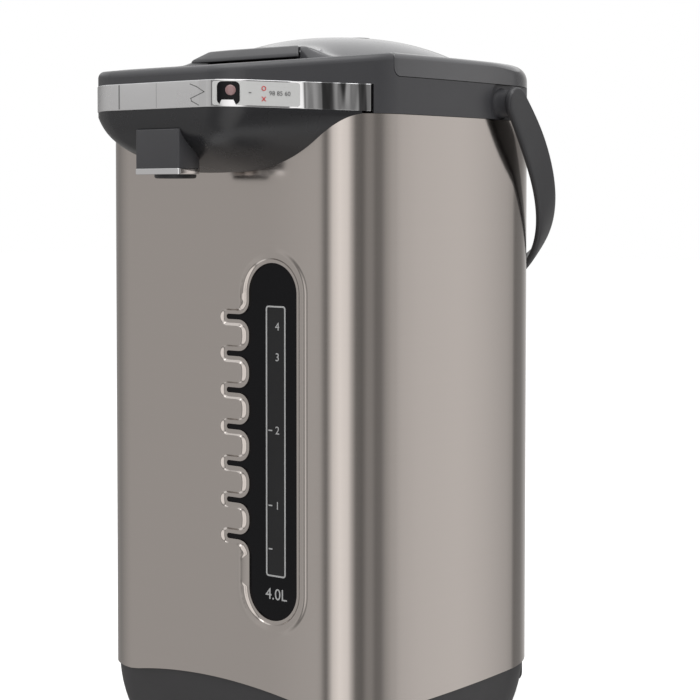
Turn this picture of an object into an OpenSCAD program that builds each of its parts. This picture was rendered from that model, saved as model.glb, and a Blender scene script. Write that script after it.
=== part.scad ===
// Electric thermo pot: steel body, beaked head with control strip, hinged lid,
// bail handle, swivel foot, and the tank, heater, pump and plumbing inside.
// Millimetres. Origin on the table under the body's axis, front towards -Y, +Z up.

/* [Body] */
// Width of the steel body
body_w = 174; // [160:1:190]
// Depth of the steel body
body_d = 170; // [160:1:184]
// Plan radius of the two front corners
front_r = 28; // [22:1:34]
// Plan radius of the two back corners
back_r = 54; // [44:1:60]
// Half angle of the slight outward bow of each side, in degrees
side_bow = 4; // [2:0.5:5]
// Height of the dark base under the steel
base_h = 34; // [32:1:40]
// Height of the steel body
shell_h = 268; // [240:1:300]
// Thickness of the steel sheet
shell_t = 0.8; // [0.6:0.1:1]
// Rise of the arch in the steel's lower front edge
arch_rise = 6; // [3:0.5:8]

/* [Head] */
// Distance from the body's axis to the front of the beak
beak_reach = 123.6; // [118:0.2:132]
// Half width of the flat front of the beak
beak_flat = 31; // [26:1:34]
// Plan radius of the beak's front corners
beak_r = 25; // [20:1:28]
// Angle of the crease where the flat front meets the corner, in degrees
beak_crease = 8; // [2:1:12]
// Wall of the moulded head parts
head_t = 2.6; // [2:0.2:3]
// Height of the deck above the steel at the beak's front edge
deck_front_h = 20.5; // [19.5:0.1:23]
// Height of the deck above the steel where it meets the lid
deck_rear_h = 27.2; // [25:0.1:28.5]
// Radius of the rounded upper edges
edge_r = 3; // [2:0.5:3.5]
// Depth of the beak's hood below the top of the steel
hood_depth = 25.65; // [22:0.05:30]
// Height of the control strip
strip_h = 12; // [10:0.5:13]
// Depth of the strip's seat
strip_t = 2; // [1.6:0.1:2.2]
// How far the strip stands proud of the beak
strip_proud = 0.4; // [0.2:0.1:0.8]

/* [Spout] */
// Width of the spout housing
spout_w = 27.3; // [24:0.1:30]
// Distance of the spout's axis behind the beak's front
spout_back = 12; // [11:0.5:14]
// Radius of the round nozzle
nozzle_r = 9.5; // [8.5:0.1:10]
// Bore radius of the outlet
outlet_r = 4; // [3:0.5:4.5]

/* [Lid] */
// Height of the lid's skirt seam above the steel
seam_h = 17; // [16:0.5:18]
// Height of the lid's side wall
lid_h = 10.5; // [10:0.5:12]
// Rise of the lid's dome
dome_h = 14; // [8:0.5:18]
// Distance of the lid's front edge from the axis
lid_front = 59.7; // [58:0.1:61]
// Distance of the lid's hinge from the axis
lid_hinge_y = 60; // [60:0.5:62]
// Radius of the filling mouth
mouth_r = 54.5; // [50:0.5:54.5]
// Half width of the lid's lever
lever_half_w = 34.6; // [28:0.2:36]

/* [Handle] */
// Distance of the handle's pivots behind the body's axis
pivot_y = 25.5; // [20:0.5:30]
// Height of the pivots above the steel
pivot_h = 7.8; // [7.8:0.1:8.4]
// Radius of the handle's pivot ends
pivot_end_r = 7.6; // [7:0.1:7.7]
// Distance of the handle's outer face from the body's side
handle_clear = 8; // [8:0.5:18]
// Reach of the handle from its pivots
handle_reach = 120; // [117:0.5:130]
// Breadth of the handle's strap
strap_w = 18.5; // [14:0.5:19]
// Thickness of the handle's strap
strap_t = 3.6; // [3:0.2:4.6]
// Angle at which the handle hangs below the horizontal, in degrees
hang_angle = 50; // [46:1:52]

/* [Level gauge] */
// Distance of the gauge's axis from the body's axis
gauge_x = 33.4; // [30:0.2:35]
// Width of the black gauge panel
gauge_w = 28; // [24:0.5:29]
// Length of the black gauge panel
gauge_len = 164; // [150:1:172]
// Depth of the panel's top below the top of the steel
gauge_drop = 66.8; // [50:0.5:76]
// Number of slots at the gauge's side
slot_count = 7; // [4:1:8]
// Pitch of the side slots
slot_pitch = 17.05; // [16.5:0.05:18]
// Height of each side slot
slot_h = 2.5; // [2:0.1:3]
// Radius of the steel tongues between the slots
tongue_r = 6.3; // [5.5:0.1:6.6]
// Width of the steel border that is pressed in round the panel
border_w = 3.5; // [2.5:0.1:4.5]
// Width of the clear window
window_w = 11.3; // [10:0.1:13]
// Length of the clear window
window_len = 124; // [110:1:134]
// Outer radius of the glass level tube
tube_r = 4.5; // [4:0.1:4.6]

/* [Tank and base] */
// Distance of the water tank's inside from the body's nearer sides
tank_clear = 10; // [10:0.5:14]
// Wall of the water tank
tank_t = 0.6; // [0.5:0.1:0.8]
// Height of the tank's floor above the table
tank_floor = 66; // [66:1:74]
// Distance of the swivel foot's rim from the body's nearer sides
foot_inset = 14; // [12:0.5:20]
// Radius of the swivel hub
hub_r = 11.95; // [9:0.05:14]
// Width of the power inlet's housing
inlet_w = 56; // [48:1:64]
// Distance of the power inlet's middle from the body's axis
inlet_x = 16; // [0:1:20]
// Distance of the power inlet's back face behind the body
inlet_proud = 23; // [16:0.5:30]

/* [Hidden] */
$fn = 64;
gap = 0.3;                     // play between pieces that move past each other
fit = 0.05;                    // radial play of a pin or hub in its bore
seat_gap = 0.2;                // play between pieces that are seated in each other
cut = 1;                       // how far a cutter runs past a face
corner_steps = 10;             // straight stretches in a plan corner
side_steps = 6;                // straight stretches in half a bowed side

shell_top = base_h + shell_h;
seam_z = shell_top + seam_h;
lid_top = seam_z + lid_h;

// Plan of the body: four bowed sides and four round corners, all tangent.
bow_t = tan(side_bow / 2);
front_cx = (body_w / 2 - front_r * cos(side_bow)
    - bow_t / 2 * (body_d + (front_r + back_r) * (sin(side_bow) - cos(side_bow))
    - bow_t * ((front_r - back_r) * cos(side_bow) + (front_r + back_r) * sin(side_bow))))
    / (1 - bow_t * bow_t);
back_cx = front_cx + (front_r - back_r) * cos(side_bow);
front_cy = -(body_d / 2 - front_r * cos(side_bow) - bow_t * (front_cx + front_r * sin(side_bow)));
back_cy = body_d / 2 - back_r * cos(side_bow) - bow_t * (back_cx + back_r * sin(side_bow));
front_bow_r = (front_cx + front_r * sin(side_bow)) / sin(side_bow);
back_bow_r = (back_cx + back_r * sin(side_bow)) / sin(side_bow);
side_y0 = front_cy - front_r * sin(side_bow);
side_y1 = back_cy + back_r * sin(side_bow);
side_bow_r = (side_y1 - side_y0) / 2 / sin(side_bow);

// Plan of the beak: a flat front and two round corners that run on to the body's.
beak_cx = beak_flat - beak_r * sin(beak_crease);
beak_cy = -beak_reach + beak_r * cos(beak_crease);
beak_run = [front_cx - beak_cx, front_cy - beak_cy];
beak_side = atan2(beak_run[1], beak_run[0]) - acos((beak_r - front_r) / norm(beak_run));

// Hood under the beak, as wide as the beak. Its levels shrink towards the steel's front.
hood_back = -body_d / 2;
hood_levels = 9;
hood_lip = 3.2;                // hood's rise above the steel before the strip trims it
hood_width_power = 1 / 2.6;
hood_reach_power = 2.7;

// Deck and strip, as heights along Y.
beak_front = -beak_reach;
deck_slope = (deck_rear_h - deck_front_h) / (beak_reach - lid_front);
deck_tilt = atan(deck_slope);
strip_top_front = 14.45;       // top of the strip above the steel at the front
strip_end_y = front_cy - front_r * 0.56;
strip_fall = 1.45;             // drop of the strip's top from its front to its ends
strip_end_gap = 1;
label_rim = 0.6;
label_seat = 0.8;
label_x0 = beak_flat + 2;
label_x1 = front_cx + 3.6;
window_turn = 25;              // angle of the indicator past the crease
window_size = [9.8, 9.4];
lens_r = 2.3;
lens_rise = 1.2;
wall_t = strip_t + 2.2;        // wall of the beak behind the strip

// Spout.
spout_y = beak_front + spout_back;
spout_depth = 2 * spout_back - 1;
spout_flat = 3.6;
spout_steps = 24;
nozzle_bottom = shell_top - 28.5;
band_bottom = shell_top - 26.8;
band_h = 2.7;
spout_bottom = band_bottom + band_h;
spout_top = shell_top - 6.5;
outlet_tube_r = 6.5;
valve_r = 7.4;
valve_bottom = shell_top - 2;
valve_h = 18;
hose_z = valve_bottom + 8.2;
ball_r = 4.8;

// Keys on the deck.
key_y = -92;
key_r = 9;
side_key_r = 6.5;
side_key_x = 27;
key_travel = 1.2;
key_h = 5;
key_sink = 0.3;
key_flange = 1;
key_flange_t = 1.2;
mat_half = side_key_x + key_r;
mat_front = key_r + key_flange;
board_half = mat_half + 4;
mat_t = 1;
mat_z = -key_sink - key_h - key_travel - gap - mat_t;
board_t = 1.6;
switch_h = 0.9;

// Lid and its lever.
skin = 2.4;
barrel_r = 3.4;
barrel_room = barrel_r + 0.35;
hinge_z = lid_top - barrel_r - 0.5;
rear_top = hinge_z - 0.4;      // the open lid's back lies over the rear cover
seam_bevel = 0.4;
seam_bevel_h = 1.2;
lug_x = 22;
lug_t = 8;
hinge_pin_r = 2;
hinge_pin_half = 36;
dome_r = 66;
dome_y = 4;
dome_power = 2.8;
dome_steps = 14;
plug_r = mouth_r - 4;
plug_h = 13;
gasket_r = mouth_r - 1.3;
gasket_h = 5;
lever_front = lid_front + 6.6;
lever_back = lid_front - 8.7;
lever_z = lid_top;
lever_h = 6.4;
lever_bevel = 6.6;
lever_pivot = [-(lid_front - 6.7), lever_z + 2.8];
lever_pin_r = 1.2;
cheek_h = 5.6;
spring_r = 2.2;
spring_half = 5;
pocket_back = lever_back - 1.8;
latch_half_w = 9;
latch_z = seam_z + 3;
latch_t = 3.2;
vent_y = 20;
vent_r = 7;
vent_proud = 1.8;

// Handle.
pivot_z = shell_top + pivot_h;
handle_half_w = body_w / 2 + handle_clear;
pivot_pin_r = 4;
pivot_boss_r = 6.6;
strap_power = 2.4;
strap_steps = 40;
strap_taper = 34;
strap_taper_steps = 6;
recess_r = 12.5;
recess_depth = 1.4;

// Level gauge. The panel lies behind the steel's pressed border.
gauge_top = shell_top - gauge_drop;
gauge_mid = gauge_top - gauge_len / 2;
slot_top = gauge_top - 25.4;
slot_tip = gauge_w / 2 + 13.8;
border_sink = 1.2;
panel_t = 1.2;
panel_margin = 3;
panel_front = border_sink + shell_t;
window_x = gauge_x + 1.3;
window_mid = gauge_mid + 0.3;
window_t = 0.7;
tube_y = 9.5 - body_d / 2;
tube_t = 1.1;
fitting_r = 5.5;
tube_bottom = tank_floor - 6;
tube_top = shell_top - 6;

// Tank, heater and pump.
tank_r = min(body_w, body_d) / 2 - tank_clear;
tank_top = shell_top + 0.5;
tank_lip = 6;
tank_flange = 1.8;
seal_h = 1.5;
heater_y = 14;
heater_r = tank_r - 29;
heater_t = 6;
element_r = heater_r - 13;
element_w = 7;
element_h = 6;
thermostat_r = 8;
pump_x = 20;
pump_y = 24 - tank_r;
pump_r = 18;
pump_top = tank_floor - 10;
pump_h = 18;
pump_wall = 3;
motor_r = 13.5;
motor_h = 23;
shaft_r = 1.5;
neck_r = 4.5;
neck_bore = 3;
hose_t = 1.2;
tube_at = [window_x, tube_y];
pump_at = [pump_x, pump_y];
spout_at = [0, spout_y];

// Base and foot.
base_inset = 1.2;
base_taper = 7;
base_waist = 2.4;               // taper at the base's half height
base_t = 2.6;
base_bottom = 7;
lip_h = 10;
lip_t = 2.2;
cover_t = 2.5;
pad_h = 1.5;
pad_r = 7;
pad_count = 4;
foot_r = min(body_w, body_d) / 2 - foot_inset;
pad_ring = foot_r - 12;
foot_top = base_bottom - gap;
leg_r = 5;
leg_at = (foot_r + 3.54) / sqrt(2);
screw_r = 1.6;
screw_head_r = 3.2;
screw_head_h = 1.6;
screw_len = 12;
inlet_z0 = 5.5;
inlet_h = base_h - 1 - inlet_z0;
inlet_corner = 5;
inlet_front = body_d / 2 - 12;
inlet_reach = body_d / 2 + inlet_proud;
socket_w = 30;
socket_h = 14;
socket_depth = 14;
socket_mouth = 6;              // how far the pins' tips lie inside the socket
pin_r = 1.6;
pin_spread = 9;

// ---- Plans ------------------------------------------------------------

// Points of an arc about c, without its first point.
function arc(c, r, a0, a1, n) =
    [for (i = [1:n]) let (a = a0 + (a1 - a0) * i / n) c + r * [cos(a), sin(a)]];

// Closes a right half outline, given from front to back, with its mirror image.
function both_sides(half) =
    concat(half, [for (i = [len(half) - 1:-1:0]) if (abs(half[i][0]) > 0.001) [-half[i][0], half[i][1]]]);

// Right side of the body from the front corner's end to the back, inset by e.
function back_half(e) = concat(
    arc([body_w / 2 - side_bow_r, (side_y0 + side_y1) / 2], side_bow_r - e, -side_bow, side_bow, side_steps),
    arc([back_cx, back_cy], back_r - e, side_bow, 90 - side_bow, corner_steps),
    arc([0, body_d / 2 - back_bow_r], back_bow_r - e, 90 - side_bow, 90, side_steps));

// Outline of the body, inset by e.
function body_plan(e) = both_sides(concat([[0, -body_d / 2 + e]],
    arc([0, -body_d / 2 + front_bow_r], front_bow_r - e, -90, -90 + side_bow, side_steps),
    arc([front_cx, front_cy], front_r - e, -90 + side_bow, -side_bow, corner_steps),
    back_half(e)));

// Corner and side of the beak, inset by e.
function beak_half(e) = concat(
    [[beak_cx + (beak_r - e) * sin(beak_crease), beak_cy - (beak_r - e) * cos(beak_crease)]],
    arc([beak_cx, beak_cy], beak_r - e, -90 + beak_crease, beak_side, corner_steps));

// Outline of the head, which is the body with the beak, inset by e.
function head_plan(e) = both_sides(concat(beak_half(e),
    [[front_cx, front_cy] + (front_r - e) * [cos(beak_side), sin(beak_side)]],
    arc([front_cx, front_cy], front_r - e, beak_side, -side_bow, corner_steps),
    back_half(e)));

// Outline of the hood where it is kw of its width and kr of its reach.
function hood_plan(kw, kr, e) = both_sides(
    [for (p = concat(beak_half(e), [[front_cx, front_cy] + (front_r - e) * [cos(beak_side), sin(beak_side)]]))
        [p[0] * kw, hood_back + (p[1] - hood_back) * kr]]);

// Height of the deck above the table at y.
function deck_z(y) = shell_top + deck_front_h + deck_slope * (y - beak_front);

// Heights of the strip's upper and lower edges at y.
strip_slope = strip_fall / (beak_reach + strip_end_y);
function strip_top(y) = shell_top + strip_top_front - strip_slope * (y - beak_front);
function strip_bottom(y) = strip_top(y) - strip_h;

// Outline of the gauge panel with its side slots, grown by g.
function gauge_plan(g) = let (
    r = gauge_w / 2 + g,
    top = gauge_len / 2 - gauge_w / 2,
    s = slot_h / 2 + g,
    t = tongue_r - g,
    tip = -slot_tip + slot_h / 2)
    concat(
        arc([0, -top], r, 180, 360, 20),
        arc([0, top], r, 0, 180, 20),
        [for (i = [0:slot_count - 1]) each let (z = slot_top - gauge_mid - i * slot_pitch) concat(
            [for (k = [0:6]) let (a = 15 * k) [-r - t + t * cos(a), z + s + t - t * sin(a)]],
            [for (k = [0:8]) let (a = 90 + 22.5 * k) [tip + s * cos(a), z + s * sin(a)]],
            [for (k = [0:6]) let (a = 90 - 15 * k) [-r - t + t * cos(a), z - s - t + t * sin(a)]])]);

// ---- Shared shapes ----------------------------------------------------

module body_prism(e, z0, z1) {
    translate([0, 0, z0]) linear_extrude(z1 - z0) polygon(body_plan(e));
}

module head_prism(e, z0, z1) {
    translate([0, 0, z0]) linear_extrude(z1 - z0) polygon(head_plan(e));
}

// Prism along X of an outline given as [y, z] points.
module along_x(points, x0, x1) {
    translate([x0, 0, 0]) rotate([90, 0, 90]) linear_extrude(x1 - x0) polygon(points);
}

// Prism along Y of the [x, z] outline that is passed as a child.
module along_y(y0, y1) {
    translate([0, y1, 0]) rotate([90, 0, 0]) linear_extrude(y1 - y0) children();
}

module slab(x, y, z) {
    translate([x[0], y[0], z[0]]) cube([x[1] - x[0], y[1] - y[0], z[1] - z[0]]);
}

module disc(at, r, z0, z1) {
    translate([at[0], at[1], z0]) cylinder(r = r, h = z1 - z0);
}

module tube(at, r, bore, z0, z1) {
    difference() {
        disc(at, r, z0, z1);
        disc(at, bore, z0 - cut, z1 + cut);
    }
}

// Cylinder from one point to another at the same height.
module level_rod(from, to, z, r, start, end) {
    run = to - from;
    translate([from[0], from[1], z]) rotate([0, 0, atan2(run[1], run[0])])
        translate([start, 0, 0]) rotate([0, 90, 0]) cylinder(r = r, h = norm(run) - start - end);
}

module pin_x(y, z, r, x0, x1) {
    translate([x0, y, z]) rotate([0, 90, 0]) cylinder(r = r, h = x1 - x0);
}

module gauge_prism(g, e0, e1) {
    intersection() {
        difference() {
            body_prism(e0, gauge_mid - gauge_len, gauge_mid + gauge_len);
            body_prism(e1, gauge_mid - gauge_len - cut, gauge_mid + gauge_len + cut);
        }
        along_y(-body_d, 0) translate([gauge_x, gauge_mid]) polygon(gauge_plan(g));
    }
}

// ---- Body and base ----------------------------------------------------

// Cylinder whose side is the arch in the steel's lower front edge.
module front_arch() {
    half = front_cx;
    radius = (half * half + arch_rise * arch_rise) / (2 * arch_rise);
    translate([0, -body_d / 2 + front_r, base_h + arch_rise - radius]) rotate([90, 0, 0])
        cylinder(r = radius, h = body_d, $fn = 128);
}

module outer_shell() {
    color([0.62, 0.585, 0.56]) union() {
        difference() {
            body_prism(0, base_h, shell_top);
            body_prism(shell_t, base_h - cut, shell_top + cut);
            front_arch();
            gauge_prism(border_w, -cut, shell_t + cut);
        }
        difference() {
            gauge_prism(border_w + shell_t, border_sink, border_sink + shell_t);
            gauge_prism(0, border_sink - cut, border_sink + shell_t + cut);
        }
        difference() {
            gauge_prism(border_w + shell_t, shell_t / 2, border_sink + shell_t / 2);
            gauge_prism(border_w, -cut, border_sink + shell_t + cut);
        }
    }
}

// Base's outer form, inset by e: it draws in more and more towards the table.
module base_taper_solid(e, z0, z1) {
    hull() {
        body_prism(base_inset + e, z1 - 0.5, z1);
        body_prism(base_inset + base_waist + e, (z0 + z1) / 2, (z0 + z1) / 2 + 0.5);
        body_prism(base_inset + base_taper + e, z0, z0 + 0.5);
    }
}

module base_ring() {
    color([0.2, 0.2, 0.21]) difference() {
        union() {
            base_taper_solid(0, base_bottom, base_h);
            body_prism(base_inset, base_h - cut, base_h + lip_h);
        }
        base_taper_solid(base_t, base_bottom, base_h);
        body_prism(base_inset + base_taper + base_t, base_bottom - cut, base_bottom + cut);
        body_prism(base_inset + lip_t, base_h - cut, base_h + lip_h + cut);
    }
}

module legs_at() {
    for (x = [-leg_at, leg_at], y = [-leg_at, leg_at]) translate([x, y, 0]) children();
}

module bottom_cover() {
    color([0.16, 0.16, 0.17]) difference() {
        body_prism(base_inset + base_taper + base_t, base_bottom, base_bottom + cover_t);
        disc([0, 0], hub_r + fit, base_bottom - cut, base_bottom + cover_t + cut);
        legs_at() cylinder(r = screw_r + seat_gap, h = 3 * base_bottom);
    }
}

module bottom_screws() {
    color([0.7, 0.7, 0.72]) legs_at() {
        translate([0, 0, base_bottom - screw_head_h]) cylinder(r = screw_head_r, h = screw_head_h);
        translate([0, 0, base_bottom]) cylinder(r = screw_r, h = screw_len);
    }
}

module tank_support() {
    ring_z = tank_floor - 4;
    color([0.75, 0.75, 0.77]) difference() {
        union() {
            difference() {
                disc([0, 0], tank_r, ring_z, tank_floor);
                disc([0, 0], tank_r - 10, ring_z - cut, tank_floor + cut);
            }
            legs_at() translate([0, 0, base_bottom + cover_t])
                cylinder(r = leg_r, h = tank_floor - base_bottom - cover_t - 1);
        }
        legs_at() cylinder(r = screw_r, h = base_bottom + screw_len);
    }
}

module swivel_foot() {
    color([0.14, 0.14, 0.15]) difference() {
        union() {
            disc([0, 0], foot_r, pad_h, foot_top);
            disc([0, 0], hub_r, 0, base_bottom + cover_t + 4);
        }
        disc([0, 0], hub_r - 4, 2 * pad_h, base_bottom + cover_t + 5);
    }
}

module foot_pads() {
    color([0.08, 0.08, 0.08]) for (i = [0:pad_count - 1]) rotate([0, 0, 45 + 360 / pad_count * i])
        translate([pad_ring, 0, 0]) cylinder(r = pad_r, h = pad_h);
}

module swivel_clip() {
    color([0.8, 0.8, 0.8]) tube([0, 0], hub_r + 5, hub_r, base_bottom + cover_t + gap,
        base_bottom + cover_t + gap + 1.5);
}

// Face of the inlet's housing, with rounded lower corners.
function inlet_face() = both_sides(concat([[0, 0], [inlet_w / 2 - inlet_corner, 0]],
    arc([inlet_w / 2 - inlet_corner, inlet_corner], inlet_corner, -90, 0, 8),
    [[inlet_w / 2, inlet_h - 2], [inlet_w / 2 - 2, inlet_h], [0, inlet_h]]));

module inlet_housing() {
    mid_z = inlet_z0 + inlet_h / 2;
    color([0.1, 0.1, 0.1]) difference() {
        translate([inlet_x, 0, inlet_z0]) along_y(inlet_front, inlet_reach) polygon(inlet_face());
        base_taper_solid(0, base_bottom, base_h);
        slab([-body_w, body_w], [0, body_d / 2 - 8], [0, base_bottom + cut]);
        slab([inlet_x - socket_w / 2, inlet_x + socket_w / 2],
            [inlet_reach - socket_depth, inlet_reach + cut], [mid_z - socket_h / 2, mid_z + socket_h / 2]);
        for (x = [-pin_spread, 0, pin_spread]) translate([inlet_x + x, inlet_reach - socket_depth + cut, mid_z])
            rotate([90, 0, 0]) cylinder(r = pin_r, h = 4 + cut);
    }
}

module inlet_pins() {
    color([0.85, 0.75, 0.5]) for (x = [-pin_spread, 0, pin_spread])
        translate([inlet_x + x, inlet_reach - socket_mouth, inlet_z0 + inlet_h / 2]) rotate([90, 0, 0])
            cylinder(r = pin_r, h = socket_depth - socket_mouth + 4);
}

// ---- Tank, heater and pump --------------------------------------------

module inner_tank() {
    r = tank_r + tank_t;
    color([0.75, 0.76, 0.77]) difference() {
        union() {
            disc([0, 0], r, tank_floor, tank_top);
            disc([0, 0], r + tank_flange, tank_top - 1, tank_top);
            disc(pump_at, neck_r, tank_floor - 4, tank_floor + tank_t);
        }
        disc([0, 0], tank_r, tank_floor + tank_t, tank_top - 1);
        disc([0, 0], tank_r - tank_lip, tank_top - 2, tank_top + cut);
        disc(pump_at, neck_bore, tank_floor - 5, tank_floor + 2);
    }
}

module tank_seal() {
    color([0.8, 0.8, 0.78]) tube([0, 0], tank_r + tank_t, tank_r - tank_lip, tank_top, tank_top + seal_h);
}

module heater_plate() {
    color([0.7, 0.7, 0.7]) disc([0, heater_y], heater_r, tank_floor - heater_t, tank_floor);
}

module heater_element() {
    z = tank_floor - heater_t;
    color([0.35, 0.3, 0.28]) union() {
        tube([0, heater_y], element_r + element_w / 2, element_r - element_w / 2, z - element_h, z);
        for (x = [-6, 6]) slab([x - 1.5, x + 1.5], [heater_y - element_r - 8, heater_y - element_r],
            [z - element_h + 1, z - element_h + 3]);
    }
}

module thermostats() {
    z = tank_floor - heater_t;
    color([0.9, 0.9, 0.88]) for (dy = [-12, 12]) {
        disc([0, heater_y + dy], thermostat_r, z - 8, z);
        disc([0, heater_y + dy], thermostat_r - 3, z - 12, z - 8);
    }
}

module thermal_fuse() {
    z = tank_floor - heater_t;
    color([0.85, 0.85, 0.8]) slab([-20, -16], [heater_y - 9, heater_y + 9], [z - 4, z]);
}

module pump_motor() {
    color([0.6, 0.6, 0.62]) union() {
        disc(pump_at, motor_r, pump_top - pump_h - motor_h, pump_top - pump_h);
        disc(pump_at, motor_r - 4, base_bottom + cover_t, pump_top - pump_h - motor_h);
    }
}

module pump_housing() {
    z0 = pump_top - pump_h;
    outlet_z = pump_top - 6;
    color([0.9, 0.9, 0.88]) difference() {
        union() {
            disc(pump_at, pump_r, z0, pump_top);
            disc(pump_at, neck_r, pump_top - cut, tank_floor - 6);
            level_rod(pump_at, tube_at, outlet_z, neck_r, pump_r - 3, fitting_r + 0.6);
        }
        disc(pump_at, pump_r - pump_wall, z0 + pump_wall, pump_top - pump_wall);
        disc(pump_at, neck_bore, pump_top - pump_wall - cut, tank_floor);
        disc(pump_at, shaft_r + 2 * fit, z0 - cut, z0 + pump_wall + cut);
        level_rod(pump_at, tube_at, outlet_z, neck_bore, 10, 0);
    }
}

module pump_impeller() {
    z0 = pump_top - pump_h + pump_wall + 1.5;
    color([0.2, 0.35, 0.6]) union() {
        disc(pump_at, pump_r - pump_wall - 2, z0, z0 + 2);
        disc(pump_at, shaft_r + 2, z0, z0 + 7);
        disc(pump_at, shaft_r, pump_top - pump_h + 0.05, z0 + cut);
        translate([pump_at[0], pump_at[1], z0 + 2 - 0.01]) for (a = [0:60:300]) rotate([0, 0, a])
            translate([3, -0.75, 0]) cube([pump_r - pump_wall - 5.5, 1.5, 5]);
    }
}

module suction_hose() {
    color([0.85, 0.85, 0.83]) tube(pump_at, neck_r + fit + hose_t, neck_r + fit, pump_top + 1, tank_floor - 0.5);
}

module delivery_hose() {
    outlet_z = pump_top - 6;
    color([0.85, 0.85, 0.83]) difference() {
        level_rod(pump_at, tube_at, outlet_z, neck_r + hose_t, pump_r + 0.3, fitting_r + 0.7);
        level_rod(pump_at, tube_at, outlet_z, neck_r + fit, 0, 0);
        disc(pump_at, pump_r + fit, 0, shell_top);
    }
}

module gauge_lower_fitting() {
    outlet_z = pump_top - 6;
    color([0.88, 0.88, 0.86]) difference() {
        union() {
            disc(tube_at, fitting_r, outlet_z - 5.5, tube_bottom + 6);
            level_rod(tube_at, pump_at, outlet_z, neck_bore - fit, 0, pump_r - 2);
        }
        disc(tube_at, tube_r + fit, tube_bottom, tube_bottom + 7);
        disc(tube_at, neck_bore - 1, outlet_z, tube_bottom + 1);
        level_rod(tube_at, pump_at, outlet_z, neck_bore - 1, 0, 0);
    }
}

module gauge_tube() {
    color([0.85, 0.92, 0.95, 0.4]) tube(tube_at, tube_r, tube_r - tube_t, tube_bottom, tube_top);
}

module gauge_upper_fitting() {
    color([0.88, 0.88, 0.86]) difference() {
        union() {
            disc(tube_at, fitting_r, tube_top - 5, hose_z + fitting_r);
            level_rod(tube_at, spout_at, hose_z, neck_r, 0, norm(tube_at - spout_at) - 12);
        }
        disc(tube_at, tube_r + fit, tube_top - 6, tube_top);
        disc(tube_at, neck_bore, tube_top - cut, hose_z);
        level_rod(tube_at, spout_at, hose_z, neck_bore, 0, 0);
    }
}

module outlet_hose() {
    color([0.85, 0.85, 0.83]) difference() {
        level_rod(tube_at, spout_at, hose_z, neck_r + hose_t, fitting_r + 0.4, valve_r + 0.4);
        level_rod(tube_at, spout_at, hose_z, neck_r + fit, 0, 0);
    }
}

module valve_body() {
    color([0.9, 0.9, 0.88]) difference() {
        union() {
            disc(spout_at, valve_r, valve_bottom, valve_bottom + valve_h);
            level_rod(spout_at, tube_at, hose_z, neck_r, 0, norm(tube_at - spout_at) - 15);
        }
        disc(spout_at, ball_r + 0.4, valve_bottom + 3, valve_bottom + valve_h - 2);
        disc(spout_at, outlet_r, valve_bottom - cut, valve_bottom + 4);
        level_rod(spout_at, tube_at, hose_z, neck_bore, 0, 0);
    }
}

module valve_ball() {
    color([0.75, 0.75, 0.77])
        translate([0, spout_y, valve_bottom + 3.05 + sqrt(ball_r * ball_r - outlet_r * outlet_r)])
            sphere(r = ball_r);
}

module spout_tube() {
    color([0.9, 0.9, 0.88]) tube(spout_at, outlet_tube_r, outlet_r, nozzle_bottom + 3, valve_bottom);
}

// ---- Spout ------------------------------------------------------------

// Plan of the spout housing: flat front and an elliptical back.
function spout_plan(grow) = concat([[-spout_w / 2 - grow, beak_front - grow], [spout_w / 2 + grow, beak_front - grow]],
    [for (i = [0:spout_steps]) let (a = 180 * i / spout_steps)
        [(spout_w / 2 + grow) * cos(a), beak_front + spout_flat + (spout_depth - spout_flat + grow) * sin(a)]]);

module spout_block(grow, z0, z1) {
    translate([0, 0, z0]) linear_extrude(z1 - z0) polygon(spout_plan(grow));
}

module spout_housing() {
    color([0.25, 0.25, 0.26]) difference() {
        spout_block(0, spout_bottom, spout_top);
        disc(spout_at, outlet_tube_r + seat_gap, spout_bottom - cut, spout_top + cut);
    }
}

module spout_band() {
    color([0.8, 0.8, 0.8]) difference() {
        spout_block(0.2, band_bottom, spout_bottom);
        disc(spout_at, nozzle_r + seat_gap, band_bottom - cut, spout_bottom + cut);
    }
}

module spout_nozzle() {
    color([0.18, 0.18, 0.19]) difference() {
        disc(spout_at, nozzle_r, nozzle_bottom, spout_bottom);
        disc(spout_at, outlet_r, nozzle_bottom - cut, spout_bottom);
        disc(spout_at, outlet_tube_r + fit, nozzle_bottom + 3, spout_bottom + cut);
        disc(spout_at, nozzle_r - 1.8, nozzle_bottom - cut, nozzle_bottom + 1.5);
    }
}

// ---- Head -------------------------------------------------------------

// Space below the deck, lowered by drop, in front of the lid.
module under_deck(drop) {
    y1 = -lid_front - gap;
    along_x([[beak_front - cut, 0], [y1, 0], [y1, deck_z(y1) - drop],
        [beak_front - cut, deck_z(beak_front - cut) - drop]], -body_w, body_w);
}

// Space between the strip's edges, grown by g, as far back as y1.
module strip_zone(g, y1) {
    along_x([[beak_front - 2, strip_bottom(beak_front - 2) - g], [y1, strip_bottom(y1) - g],
        [y1, strip_top(y1) + g], [beak_front - 2, strip_top(beak_front - 2) + g]], -body_w, body_w);
}

// Upper part of the beak with its rounded edge.
module beak_top() {
    hull() {
        intersection() {
            head_prism(0, shell_top, shell_top + 40);
            under_deck(edge_r);
        }
        intersection() {
            head_prism(edge_r * 0.3, shell_top, shell_top + 40);
            under_deck(edge_r * 0.3);
        }
        intersection() {
            head_prism(edge_r, shell_top, shell_top + 40);
            under_deck(0);
        }
    }
}

// Beak's wall starts at the strip, or at the steel where the beak has run out.
module above_strip() {
    along_x([[beak_front - cut, strip_bottom(beak_front)], [strip_end_y, strip_bottom(strip_end_y)],
        [strip_end_y, shell_top], [body_d, shell_top], [body_d, lid_top + 40],
        [beak_front - cut, lid_top + 40]], -body_w, body_w);
}

module on_deck(x) {
    translate([x, key_y, deck_z(key_y)]) rotate([deck_tilt, 0, 0]) children();
}

module pivots(r, x0, x1) {
    for (s = [0, 1]) mirror([s, 0, 0]) pin_x(pivot_y, pivot_z, r, x0, x1);
}

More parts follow.
